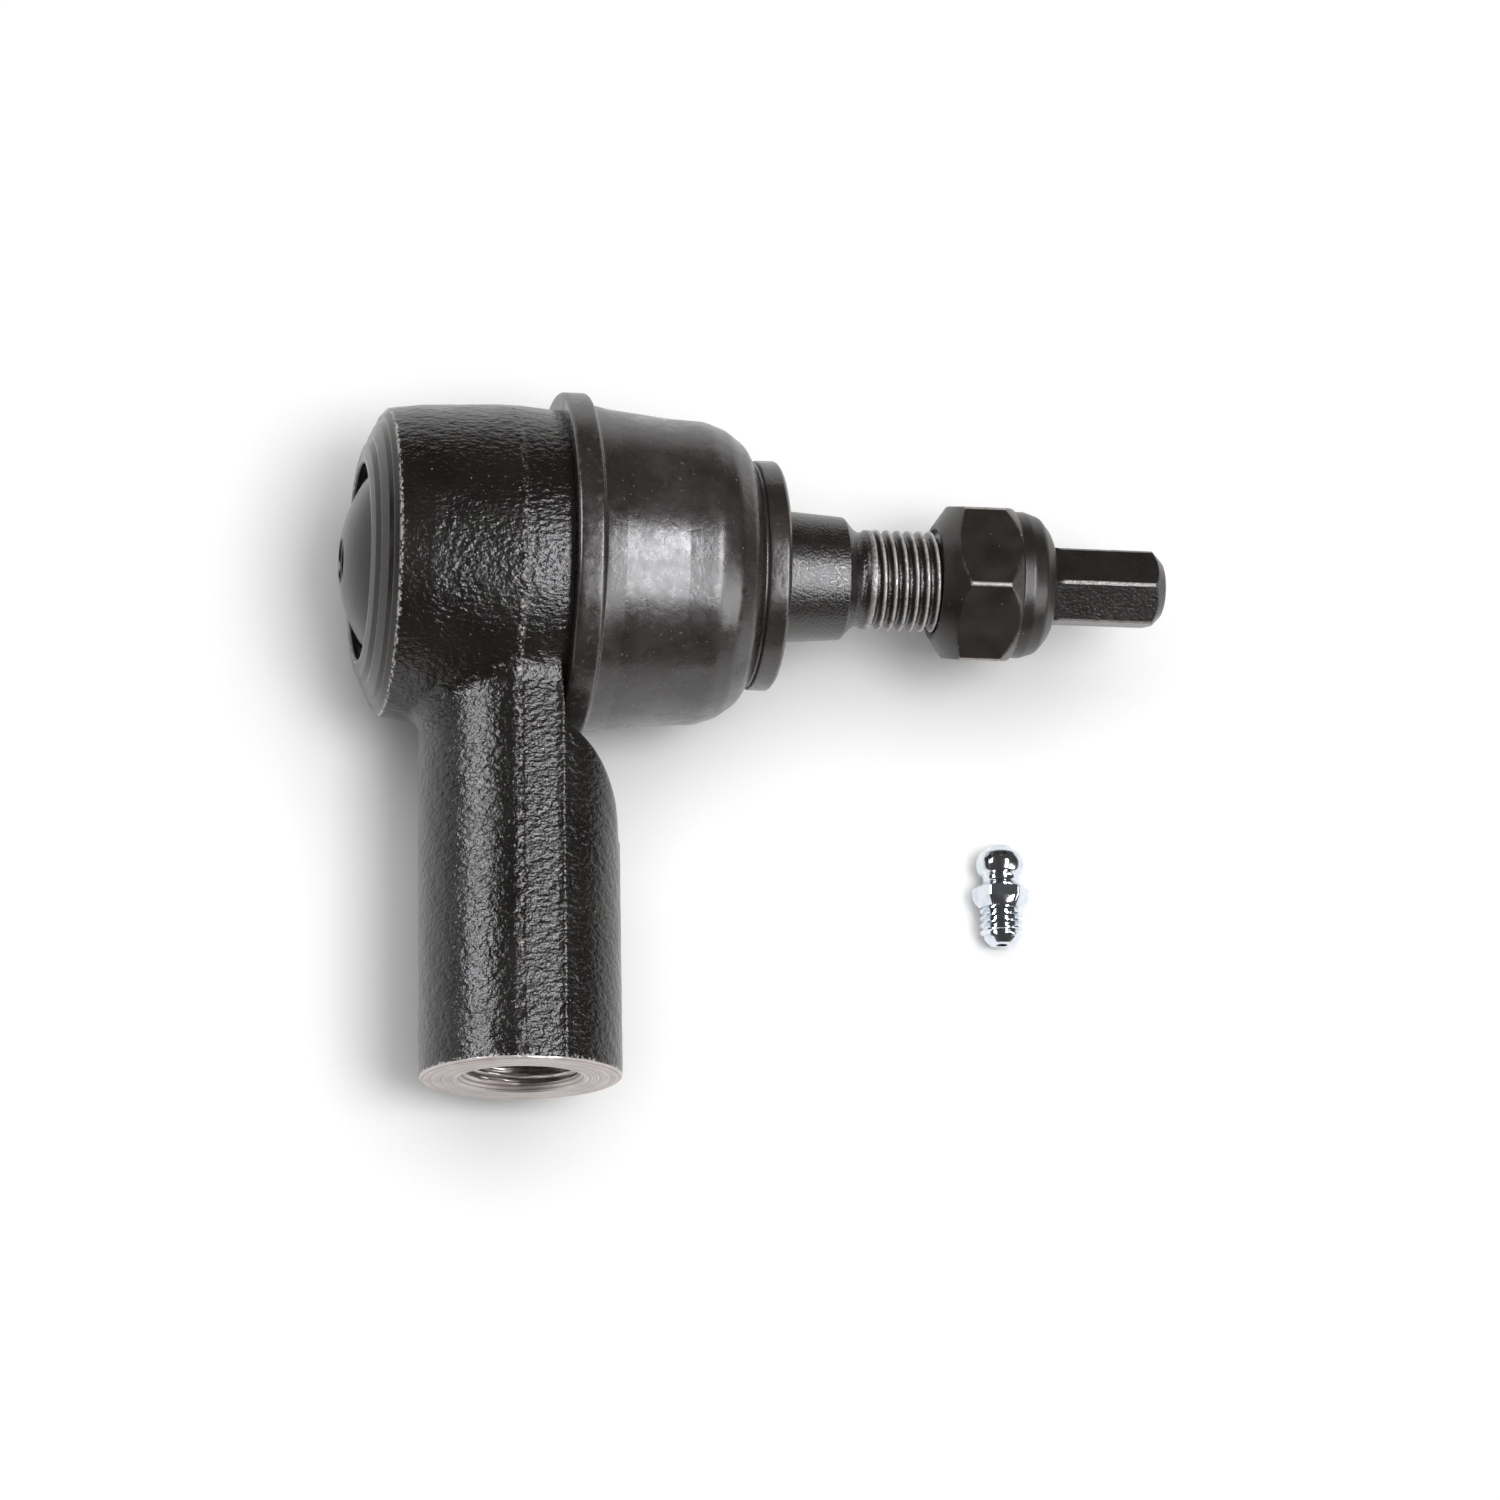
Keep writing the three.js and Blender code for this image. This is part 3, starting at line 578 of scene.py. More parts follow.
def mottled(tree, cloud, first, second, *layers):
    """One colour passing into another where a cloudy noise rises, with layers over both: wear, dust and
    painted highlight.

    Each layer is its cover, from 0 to 1, and its colour.
    """
    colour = first
    for cover, tone in ((add_node(tree, "MapRange", [cloud, 0.35, 0.7]), second), *layers):
        colour = add_node(tree, "Mix", {0: cover, 6: colour, 7: tone}, 2, data_type="RGBA")
    return colour


def finishes():
    """The add-on's colours as plain tuples."""
    group = bpy.context.scene.tie_rod_finishes
    return {key: tuple(getattr(group, key)) for key in FINISH_COLOURS}


def forging_paint():
    """Thin black paint over a shot-blasted forging: semi-gloss, with close pebbling that breaks highlights.

    The paint is chipped in specks round the machined edges; the specks along the parting line, kept to the
    side toward the camera, are partly painted glints, and those where the shank meets the barrel are painted
    highlight.
    """
    material, tree = new_material("forging_black_paint", Specular_IOR_Level=0.62)
    place = about_ball(tree)
    across, along = (add_node(tree, "SeparateXYZ", [place], i) for i in (0, 1))
    cloud = add_node(tree, "TexNoise", {"Vector": place, "Scale": 1 / (9 * MM), "Detail": 3})
    seam = add_node(tree, "Math", [
        stroke(tree, across, SEAM_X * MM, 0.15 * MM, 0.6 * MM), patches(tree, place, 1.3, 3, 0.44, 0.52)
    ], operation="MULTIPLY")
    # Painted glints in part: the specks along the parting line are full on the barrel's side toward the
    # camera, fade out towards its far side and are weaker on the shank.
    glint_side = add_node(tree, "Math", [
        add_node(tree, "MapRange", [along, -4 * MM, 10 * MM, 1, 0]),
        add_node(tree, "MapRange", [along, -30 * MM, -20 * MM, 0.35, 1]),
    ], operation="MULTIPLY")
    # Painted highlight: bright specks along the fillet where the shank meets the barrel stand for the
    # highlight on it.
    saddle = add_node(tree, "Math", [
        add_node(tree, "Attribute", out="Fac", attribute_name="saddle"),
        patches(tree, place, 1.1, 2, 0.5, 0.6),
    ], operation="MULTIPLY")
    edge = add_node(tree, "Math", [seam, glint_side], operation="MULTIPLY")
    for other in (
        add_node(tree, "MapRange", [across, (BARREL_LEFT + 0.06) * MM, (BARREL_LEFT + 0.3) * MM, 1, 0]),
        add_node(tree, "MapRange", [along, (SHANK_END + 0.5) * MM, (SHANK_END + 0.85) * MM, 1, 0]),
        saddle,
    ):
        edge = add_node(tree, "Math", [edge, other], operation="MAXIMUM")
    chip = add_node(tree, "Math", [edge, patches(tree, place, 0.5, 2, 0.52, 0.6)], operation="MULTIPLY")
    bare = add_node(tree, "Math", [chip, patches(tree, place, 0.42, 2, 0.745, 0.78)], operation="MAXIMUM")
    # The pale steel colour covers real chips and specks, and the painted glints along the parting line and
    # the fillet.
    colour = mottled(
        tree, cloud, finishes()["paint"], linear("#1b1815"), (bare, linear("#aca6a2"))
    )
    height = add_node(tree, "TexNoise", {
        "Vector": about_ball(tree, (0.85, 1.3, 0.85)), "Scale": 1 / (0.78 * MM), "Detail": 2,
        "Roughness": 0.45,
    })
    grit = add_node(tree, "TexNoise", {"Vector": place, "Scale": 1 / (0.26 * MM), "Detail": 2})
    for layer, share in ((grit, 0.26), (seam, 0.5)):
        height = add_node(tree, "Math", [layer, share, height], operation="MULTIPLY_ADD")
    return finish(
        material, colour, height, 0.2, add_node(tree, "MapRange", [cloud, 0.3, 0.7, 0.2, 0.27])
    )


def machined_paint():
    """Turned steel under a thin satin black coat: smooth, with faint turning marks round the axis."""
    material, tree = new_material("turned_satin_black", Specular_IOR_Level=0.38)
    place = about_ball(tree)
    across, y, z = (add_node(tree, "SeparateXYZ", [place], i) for i in range(3))
    radius = distance_from(tree, y=y, z=z)
    cloud = add_node(tree, "TexNoise", {"Vector": place, "Scale": 1 / (5 * MM), "Detail": 4})
    rolled_edge = add_node(tree, "Math", [
        stroke(tree, radius, 13.65 * MM, 0.08 * MM, 0.22 * MM),
        add_node(tree, "MapRange", [across, -21.4 * MM, -21.2 * MM, 1, 0]),
    ], operation="MULTIPLY")
    edge = add_node(tree, "Math", [
        add_node(tree, "MapRange", [radius, 20.55 * MM, 20.8 * MM]), rolled_edge
    ], operation="MAXIMUM")
    chip = add_node(tree, "Math", [edge, patches(tree, place, 0.6, 3, 0.42, 0.52)], operation="MULTIPLY")
    colour = mottled(
        tree, cloud, linear("#1a1715"), linear("#262321"), (chip, linear("#a8a4a1"))
    )
    rings = add_node(tree, "CombineXYZ", [across, radius])
    height = add_node(tree, "Math", [
        add_node(tree, "TexNoise", {"Vector": rings, "Scale": 1 / (0.25 * MM), "Detail": 2}),
        add_node(tree, "TexNoise", {"Vector": place, "Scale": 1 / (1.6 * MM), "Detail": 2}),
    ], operation="ADD")
    return finish(
        material, colour, height, 0.014, add_node(tree, "MapRange", [cloud, 0.3, 0.7, 0.16, 0.28])
    )


def bare_machined_steel():
    """Steel faced on a lathe and left bare: bright, with rings about the shank's axis."""
    material, tree = new_material("faced_bare_steel", Metallic=1.0, Roughness=0.42)
    place = about_ball(tree)
    x, z = (add_node(tree, "SeparateXYZ", [place], i) for i in (0, 2))
    rings = add_node(tree, "CombineXYZ", [distance_from(tree, x=x, z=z)])
    marks = add_node(tree, "TexNoise", {
        "Vector": rings, "Scale": 1 / (0.35 * MM), "Detail": 3, "Roughness": 0.6,
    })
    colour = finishes()["bare_steel"]
    for cover, tone in (
        (patches(tree, place, 4, 4, 0.3, 0.7), "#b3aaa8"),
        (add_node(tree, "MapRange", [marks, 0.5, 0.58, 0, 0.85]), "#7d7673"),
    ):
        colour = add_node(tree, "Mix", {0: cover, 6: colour, 7: linear(tone)}, 2, data_type="RGBA")
    return finish(material, colour, marks, 0.1)


def phosphated_steel():
    """Black phosphate on turned steel, finely pitted; the crests of the thread and the corners are bare."""
    material, tree = new_material("black_phosphate_steel", Metallic=0.15, Specular_IOR_Level=1.0)
    place = about_ball(tree)
    cloud = add_node(tree, "TexNoise", {"Vector": place, "Scale": 1 / (3 * MM), "Detail": 4})
    wear = add_node(tree, "Math", [
        add_node(tree, "Attribute", out="Fac", attribute_name="bare"),
        patches(tree, place, 0.7, 3, 0.3, 0.5, 0.45, 1),
    ], operation="MULTIPLY")
    colour = mottled(
        tree, cloud, finishes()["phosphate"], linear("#262220"), (wear, linear("#b9b4b1"))
    )
    return finish(
        material, colour, patches(tree, place, 0.4, 3, 0.36, 0.6), 0.03,
        add_node(tree, "MapRange", [cloud, 0.3, 0.7, 0.25, 0.28]),
    )


def black_oxide_steel():
    """Black oxide on a forged nut: satin, with bare steel worn through at the corners and small nicks."""
    material, tree = new_material("black_oxide_steel", Metallic=0.1, Specular_IOR_Level=0.6)
    place = about_ball(tree)
    cloud = add_node(tree, "TexNoise", {"Vector": place, "Scale": 1 / (4 * MM), "Detail": 5})
    wear = add_node(tree, "Math", [
        add_node(tree, "Attribute", out="Fac", attribute_name="bare"),
        patches(tree, place, 0.8, 3, 0.3, 0.55, 0.6, 1),
    ], operation="MULTIPLY")
    nicks = patches(tree, place, 0.5, 1, 0.79, 0.81)
    colour = mottled(
        tree, cloud, finishes()["oxide"], linear("#28231f"),
        (add_node(tree, "Math", [wear, nicks], operation="MAXIMUM"), linear("#a9a4a2")),
    )
    grain = add_node(tree, "TexNoise", {"Vector": place, "Scale": 1 / (0.4 * MM), "Detail": 3})
    return finish(
        material, colour, grain, 0.012, add_node(tree, "MapRange", [cloud, 0.3, 0.7, 0.3, 0.42])
    )


def moulded_rubber():
    """Moulded black rubber: satin, with scuffs round its body, pale patches on it that stand partly for a
    waxy film and partly for a painted highlight, and dust on its flange.
    """
    material, tree = new_material("moulded_black_rubber", Specular_IOR_Level=0.85)
    place = about_ball(tree)
    across = add_node(tree, "SeparateXYZ", [place])
    cloud, bloom_and_highlight_cloud, scuff = (
        add_node(tree, "TexNoise", {
            "Vector": place, "Scale": 1 / (size * MM), "Detail": detail, "Roughness": roughness,
        })
        for size, detail, roughness in ((7, 4, 0.6), (8, 4, 0.62), (1.6, 5, 0.65))
    )
    # Painted highlight in part: faint pale patches, only in the band of the body where the lamps' reflection
    # lies.
    patch = add_node(tree, "MapRange", [bloom_and_highlight_cloud, 0.47, 0.6])
    bloom_and_highlight = 0.05
    for share in (
        add_node(tree, "MapRange", [across, 12.5 * MM, 14.5 * MM]),
        add_node(tree, "MapRange", [across, 23 * MM, 26.5 * MM, 1, 0]),
        patch,
    ):
        bloom_and_highlight = add_node(tree, "Math", [share, bloom_and_highlight], operation="MULTIPLY")
    flange_dust = add_node(tree, "Math", [
        add_node(tree, "MapRange", [across, 8.6 * MM, 9.2 * MM, 1, 0]),
        patches(tree, place, 0.8, 3, 0.58, 0.72, 0, 0.22),
    ], operation="MULTIPLY")
    # The pale bluish colour of these patches is partly a painted highlight.
    colour = mottled(
        tree, cloud, finishes()["rubber"], linear("#2f2b29"), (bloom_and_highlight, linear("#a9a7ad")),
        (flange_dust, linear("#7d7773")),
        (patches(tree, place, 0.5, 2, 0.7, 0.76, 0, 0.55), linear("#8f8b8c")),
    )
    height = add_node(tree, "Math", [cloud, 2, scuff], operation="MULTIPLY_ADD")
    worn = add_node(tree, "MapRange", [scuff, 0.3, 0.7, 0.24, 0.36])
    worn = add_node(tree, "Math", [patch, -0.07, worn], operation="MULTIPLY_ADD")
    return finish(material, colour, height, 0.05, worn)


def zinc_plated_steel():
    """Bright zinc plate: a near mirror with a cold tint and soft unevenness."""
    material, tree = new_material("bright_zinc_plate", Metallic=1.0)
    cloud = add_node(tree, "TexNoise", {"Vector": about_ball(tree), "Scale": 1 / (1.2 * MM), "Detail": 3})
    colour = mottled(tree, cloud, finishes()["zinc"], linear("#cdd6df"))
    return finish(
        material, colour, cloud, 0.002, add_node(tree, "MapRange", [cloud, 0.3, 0.7, 0.09, 0.13])
    )


def two_tone(name, tones, cloud, grain, depth_mm, **settings):
    """A finish with no worn edges: clouds of two tones over a fine grain, each given as size and detail."""
    material, tree = new_material(name, **settings)
    place = about_ball(tree)
    shade, height = (
        add_node(tree, "TexNoise", {"Vector": place, "Scale": 1 / (size * MM), "Detail": detail})
        for size, detail in (cloud, grain)
    )
    return finish(material, mottled(tree, shade, *map(linear, tones)), height, depth_mm)


def oiled_thread_steel():
    """Cut thread with a film of oil: dark, shiny steel."""
    tones = "#a39d9b", "#cdc7c4"
    return two_tone("oiled_thread_steel", tones, (1.5, 3), (0.3, 2), 0.01, Metallic=1.0, Roughness=0.28)


def spring_steel():
    """Oil-hardened spring steel: dark grey metal with a fine drawn grain."""
    tones = "#6c6866", "#8a8684"
    return two_tone("oiled_spring_steel", tones, (0.5, 3), (0.5, 3), 0.01, Metallic=1.0, Roughness=0.35)


def acetal():
    """Moulded acetal of the bearings: off-white, slightly waxy, with a faint flow pattern."""
    return two_tone("moulded_acetal", ("#ddd6c4", "#cfc7b3"), (6, 4), (0.6, 2), 0.008, Roughness=0.4)


def nylon():
    """Moulded nylon of the nut's insert: black with a soft sheen."""
    return two_tone("moulded_black_nylon", ("#201f22", "#2e2c30"), (2, 4), (0.5, 2), 0.01, Roughness=0.42)


def studio_floor():
    """Smooth white card, with the faintest unevenness."""
    material, tree = new_material("white_card", Roughness=0.9)
    cloud = add_node(tree, "TexNoise", {"Vector": about_ball(tree), "Scale": 1 / (60 * MM), "Detail": 2})
    whites = {0: cloud, 6: linear("#fbfbfb"), 7: linear("#f7f7f7")}
    tone = add_node(tree, "Mix", whites, 2, data_type="RGBA")
    tree.links.new(tone, shader_of(material).inputs["Base Color"])
    return material


# ---- pieces


class PieceOperator(bpy.types.Operator):
    """Common end of every piece: shading, body and CAD node."""

    bl_options = {"REGISTER", "UNDO"}

    def settle(self, obj, body, node, slot, sharp=32):
        """Shade a piece, put it on its body, and let it stand for its CAD node."""
        smooth_shade(obj, sharp)
        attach(obj, body)
        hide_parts(node)


def lip_tool():
    """Everything outside the lip at the cover end: a chamfer, a step and the rolled edge."""
    path = rounded([
        (-27, 0), (-27, 28), (BARREL_LEFT, 28), (BARREL_LEFT, 20.95, 0.15), (-19.2, 19.9, 0.25),
        (-19.15, 19.35, 0.2), (-19.75, 18.75, 0.5), (-20.55, 17.1, 0.6), (-20.6, 16.7, 0.2),
        (-21.2, 15.9, 1.2), (LIP_RIM, 14.5, 0.5), (LIP_RIM, 13.6, 0.2), (LIP_RIM + 0.3, LIP_OPENING),
        (LIP_RIM + 0.3, 0),
    ], 8)
    return turned("lip_tool", path[:, 0], path[:, 1], 192)


def spigot_tool():
    """Everything outside the spigot at the boot end, clear of the shank's shoulder."""
    path = rounded([
        (SPIGOT_END, 0), (SPIGOT_END, SPIGOT_RADIUS, 0.4), (BARREL_RIGHT, SPIGOT_RADIUS, 0.3),
        (BARREL_RIGHT, 21.2), (BARREL_RIGHT + 0.35, 21.6), (BARREL_RIGHT + 0.35, 24.4), (16, 24.4), (16, 0),
    ])
    return turned("spigot_tool", path[:, 0], path[:, 1], 192)


def socket_tool():
    """The space for the cover, the bearings and the ball, and the mouth that the neck swings in."""
    path = rounded([
        (-28, 0), (-28, LIP_OPENING), (LIP_RIM + 0.1, LIP_OPENING, 0.3), (-20.2, LIP_OPENING + 0.2, 0.2),
        (-20.2, 17.3, 0.2), (-17.3, 17.3, 0.1), (-17.3, 16, 0.2), (2.5, 16, 1), (8, 11.7, 0.6), (10.6, 14),
        (12, 14), (12, 0),
    ])
    return turned("socket_tool", path[:, 0], path[:, 1], 128)


def shank_tool():
    """Everything below the shank's end face, with the countersunk and threaded bore, turned about y."""
    outside = rounded([
        (-90, 0), (-90, 26), (SHANK_END + 0.45, 26), (SHANK_END + 0.45, 13.75), (SHANK_END, 13.1),
        (SHANK_END, COUNTERSINK_RADIUS), (SHANK_END + 1.0, SHANK_THREAD_MAJOR - 0.3),
    ])
    thread_rows = np.arange(SHANK_END + 1.12, SHANK_END + 27, 0.12)
    inside = rounded([
        (SHANK_END + 27.5, SHANK_THREAD_MINOR), (SHANK_END + 31, SHANK_THREAD_MINOR, 0.3),
        (SHANK_END + 34.5, 0),
    ])
    along = np.concatenate([outside[:, 0], thread_rows, inside[:, 0]])
    plain = np.concatenate([outside[:, 1], np.full(len(thread_rows), SHANK_THREAD_MINOR), inside[:, 1]])
    angle = np.arange(80) * TAU / 80
    height = thread_height(along[:, None], angle[None], 1.5)
    threaded = SHANK_THREAD_MINOR + (SHANK_THREAD_MAJOR - SHANK_THREAD_MINOR) * height
    in_thread = (along > SHANK_END + 1.05) & (along < SHANK_END + 27)
    run_in = np.clip(COUNTERSINK_RADIUS - (along - SHANK_END) * 0.9, SHANK_THREAD_MINOR, None)
    radius = np.where(in_thread[:, None], np.maximum(threaded, run_in[:, None]), plain[:, None])
    return turned("shank_tool", along, radius, 80, "y")


class OBJECT_OT_tie_rod_housing(PieceOperator):
    """Make the forged housing, with its machined lip, spigot, socket, end face and threaded bore"""

    bl_idname = "object.tie_rod_housing"
    bl_label = "Housing"

    def execute(self, context):
        housing = forged_skin(context.scene.tie_rod_forging)
        cut(housing, [lip_tool(), spigot_tool(), socket_tool(), shank_tool()])
        clothe(housing, forging_paint(), machined_paint(), bare_machined_steel(), oiled_thread_steel())
        x, y, z = vertex_places(housing).T
        sizes = context.scene.tie_rod_forging
        to_barrel = np.hypot(y, z) - sizes.barrel_radius / MM
        to_shank = np.hypot(x, z) - sizes.shank_radius / MM
        # Painted highlight: vertices near the fillet where the shank meets the barrel get bright specks in
        # the paint.
        near = np.clip(1 - np.abs(to_barrel - to_shank) / 0.45, 0, 1) * (to_barrel < 1.6) * (to_shank < 1.6)
        paint_vertices(housing, "saddle", near * (x > -12) * (x < 4.4) * (y < 0))
        x, y, z = face_centres(housing).T
        from_x, from_y = np.hypot(y, z), np.hypot(x, z)
        kind = np.zeros(len(x), np.int32)
        on_lip = (x < BARREL_LEFT + 0.02) & (from_x < 20.9)
        in_socket = (from_x < 17.4) & (y > -20) & (x < SPIGOT_END + 0.1)
        on_spigot = (x > BARREL_RIGHT - 0.01) & (from_x < 21.4) & (y > -22)
        kind[on_lip | in_socket | on_spigot] = 1
        kind[(y < SHANK_END + 0.44) & (from_y < 13.8)] = 2
        kind[(y < SHANK_END + 1.5) & (from_y < COUNTERSINK_RADIUS + 0.05)] = 2
        kind[(y < -36) & (from_y < COUNTERSINK_RADIUS) & (y > SHANK_END + 1.1) & (kind == 0)] = 3
        housing.data.polygons.foreach_set("material_index", kind)
        self.settle(housing, "root", "housing", "forging", 38)
        return {"FINISHED"}


class OBJECT_OT_tie_rod_cover(PieceOperator):
    """Make the domed cover with its threaded hole"""

    bl_idname = "object.tie_rod_cover"
    bl_label = "Cover"

    def execute(self, context):
        rise, base = 4.4, 12.6
        sphere = (base * base + rise * rise) / (2 * rise)
        centre = -24.3 + sphere
        wall = 2.3
        out = np.linspace(math.asin(3.1 / sphere), math.asin(base / sphere), 30)
        dome = np.stack([centre - sphere * np.cos(out), sphere * np.sin(out)], 1)
        rim = rounded([(-19.95, 12.9), (-19.9, 14.2, 0.5), (-19.9, 17, 0.3), (-17.6, 17, 0.3), (-17.6, 12.9)])
        under = np.linspace(math.asin(10.6 / (sphere - wall)), math.asin(2.6 / (sphere - wall)), 20)
        inside = np.stack([centre - (sphere - wall) * np.cos(under), (sphere - wall) * np.sin(under)], 1)
        wall_rows = np.arange(inside[-1, 0] - 0.1, dome[0, 0] + 0.35, -0.07)
        path = np.concatenate([dome, rim, inside])
        angle = np.arange(96) * TAU / 96
        hole = 2.5 + 0.45 * thread_height(wall_rows[:, None], angle[None], 1.0)
        along = np.concatenate([path[:, 0], wall_rows, [dome[0, 0] + 0.25]])
        radius = np.concatenate([
            np.repeat(path[:, 1:], 96, 1), hole, np.full((1, 96), 2.95),
        ])
        cover = turned("cover_dome", along, radius, 96, closed=True)
        clothe(cover, machined_paint())
        self.settle(cover, "root", "cover_plate", "cover_steel")
        return {"FINISHED"}


class OBJECT_OT_tie_rod_boot(PieceOperator):
    """Make the dust boot between the housing and the stud"""

    bl_idname = "object.tie_rod_boot"
    bl_label = "Dust boot"

    def execute(self, context):
        sizes = context.scene.tie_rod_boot
        rim = sizes.flange_radius / MM
        wall = sizes.wall / MM
        outside = [
            (4.9, 19.8), (4.9, rim, 0.7), (8.5, rim, 0.6), (8.8, 22.55, 0.5), (10.6, 22.15, 2),
            (11.8, 21.9, 3), (20.4, 20.95, 4), (24.9, 20.75, 5), (27.7, 19.75, 4), (30.2, 17.9, 3.5),
            (31.5, 15.75, 0.8), (31.75, 15.2, 0.2), (32.15, 15.2, 0.15), (32.25, 15.75, 0.25),
            (34.9, 15.75, 0.5), (35.35, 15.1, 0.3), (35.35, 9.9, 0.3),
        ]
        inside = [
            (35.0, 9.45, 0.15), (34.4, 9.6, 0.1), (34.2, 12.2, 0.2), (31.4, 12.2, 0.2), (31.2, 9.6, 0.2),
            (30.2, 9.6, 0.3), (29.6, 12.8, 1), (28.4, 17.6 - wall, 2.5), (24.2, 20.6 - wall, 4),
            (12.5, 21.85 - wall, 4), (10.4, 19.75, 0.5), (8.2, 19.7, 0.1), (8.2, 22, 0.2), (5.9, 22, 0.2),
            (5.9, 19.7, 0.1), (4.9, 19.8),
        ]
        path = filled_in(rounded(outside + inside, 7), 0.8)[:-1]
        boot = turned("dust_boot_rubber", path[:, 0], path[:, 1], 160, closed=True)
        clothe(boot, moulded_rubber())
        smooth_shade(boot, 40)
        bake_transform(boot)
        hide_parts("dust_boot")
        return {"FINISHED"}


class OBJECT_OT_tie_rod_stud(PieceOperator):
    """Make the ball stud, with its ball, taper, thread and hexagonal tip"""

    bl_idname = "object.tie_rod_stud"
    bl_label = "Ball stud"

    def execute(self, context):
        sizes = context.scene.tie_rod_stud
        major, pitch = sizes.thread_major / MM, sizes.thread_pitch / MM
        minor = major - 0.85
        ball = np.linspace(math.pi - math.acos(11.5 / 13), math.asin(7.3 / 13) + 0.04, 60)
        ball_path = np.stack([13 * np.cos(ball), 13 * np.sin(ball)], 1)
        turning = rounded([
            (11.2, 7.3, 0.8), (12, 7.3), (20, 7.3, 4), (27, 9.25, 3), (34.6, 9.25), (35, 9.15),
            (44.8, 8.45, 0.35), (46.1, 7.0, 0.4), (46.9, 6.45, 0.4), (47.5, 6.5, 0.3), (47.9, 6.8, 0.2),
            (48.8, 6.83), (48.95, minor),
        ])
        thread_rows = np.arange(49.0, 74.2, 0.095)
        clocking = math.radians(90 + 10)
        tip_rows = rounded([
            (74.3, 5.9), (75.3, 5.71, 0.2), (88.3, 5.71, 0.4), (90.0, 3.9, 0.35), (90.2, 3.4, 0.1), (90.2, 0),
        ])
        tip_rows = filled_in(tip_rows, 0.35)
        along = np.concatenate([[-11.5], ball_path[:, 0], turning[:, 0], thread_rows, tip_rows[:, 0]])
        plain = np.concatenate([
            [0], ball_path[:, 1], turning[:, 1], np.full(len(thread_rows), minor), tip_rows[:, 1],
        ])
        angle = corner_angles(clocking)
        full = np.clip(np.minimum((along - 48.8) / 0.5, (74.3 - along) / 1.2), 0, 1)
        height = thread_height(along[:, None], angle[None], pitch) * full[:, None]
        radius = plain[:, None] + (major - minor) * height
        hexed = along > 74.25
        limit = hexagon(angle, sizes.tip_flats / MM, clocking)
        radius = np.where(hexed[:, None], np.minimum(radius, limit[None]), radius)
        stud = turned("ball_stud_steel", along, radius, angle)
        clothe(stud, phosphated_steel())
        x, y, z = vertex_places(stud).T
        distance = np.hypot(y, z)
        crest = np.clip((distance - (major - 0.3)) / 0.22, 0, 1) * (x > 48.5) * (x < 74.3)
        corner = 0.3 * np.clip((distance - 5.69) / 0.01, 0, 1) * (x > 75) * (x < 89)
        paint_vertices(stud, "bare", np.maximum(crest, corner))
        self.settle(stud, "stud", "ball_stud", "stud_steel", 28)
        return {"FINISHED"}


class OBJECT_OT_tie_rod_nut(PieceOperator):
    """Make the lock nut and the nylon insert in its collar"""

    bl_idname = "object.tie_rod_nut"
    bl_label = "Lock nut"

    def execute(self, context):
        sizes = context.scene.tie_rod_stud
        clocking = math.radians(90 + 17)
        angle = corner_angles(clocking)
        outline = rounded([
            (57.9, 7.35, 0.2), (57.9, 7.9, 0.25), (60.9, 12.1, 0.4), (61.2, 12.06), (66.3, 12.06, 1),
            (68.6, 10.42, 0.15), (68.7, 10.1, 0.15), (70.2, 10.1), (72.2, 9.45, 1.6), (73.5, 7.9, 1.2),
            (74.0, 6.9),
        ], 8)
        outline = filled_in(outline, 0.3)
        pocket = rounded([
            (73.9, 6.85), (73.4, 7.5, 0.2), (72.4, 7.5), (72.4, 8.8, 0.1), (68.4, 8.8, 0.1), (68.4, 6.5),
        ])
        thread_rows = np.arange(68.3, 58.7, -0.13)
        mouth = np.array([(58.6, 6.6), (58.1, 7.25)])
        along = np.concatenate([outline[:, 0], pocket[:, 0], thread_rows, mouth[:, 0]])
        plain = np.concatenate([outline[:, 1], pocket[:, 1], np.full(len(thread_rows), 6.45), mouth[:, 1]])
        flats = hexagon(angle, sizes.nut_flats / MM, clocking)
        pitch = sizes.thread_pitch / MM
        groove = 0.8 * thread_height(along[:, None] + pitch / 40, angle[None], pitch, 0.25, 0.1)
        first = len(outline) + len(pocket)
        in_thread = np.zeros(len(along), bool)
        in_thread[first : first + len(thread_rows)] = True
        radius = np.where(in_thread[:, None], plain[:, None] + groove, plain[:, None])
        on_hex = (np.arange(len(along)) < len(outline)) & (along < 68.55)
        radius = np.where(on_hex[:, None], np.minimum(radius, flats[None]), radius)
        nut = turned("lock_nut_steel", along, radius, angle, closed=True)
        clothe(nut, black_oxide_steel())
        x, y, z = vertex_places(nut).T
        turn = np.arctan2(z, y)
        edge = hexagon(turn, sizes.nut_flats / MM, clocking) - np.hypot(y, z)
        cone = (edge > 0.02) & (x > 66) & (x < 68.5)
        ridge = (np.hypot(y, z) > 11.95) & (x > 60.3) & (x < 67)
        paint_vertices(nut, "bare", 0.14 * cone + 0.9 * ridge)
        self.settle(nut, "nut", "lock_nut", "nut_steel", 24)
        ring = rounded([
            (68.8, 7.3), (68.8, 8.45, 0.2), (72.1, 8.45, 0.2), (72.1, 7.3, 0.4), (68.8, 7.3),
        ])[:-1]
        insert = turned("lock_nut_nylon", ring[:, 0], ring[:, 1], 96, closed=True)
        clothe(insert, nylon())
        self.settle(insert, "nut_carrier", "lock_nut_insert", "nylon")
        return {"FINISHED"}


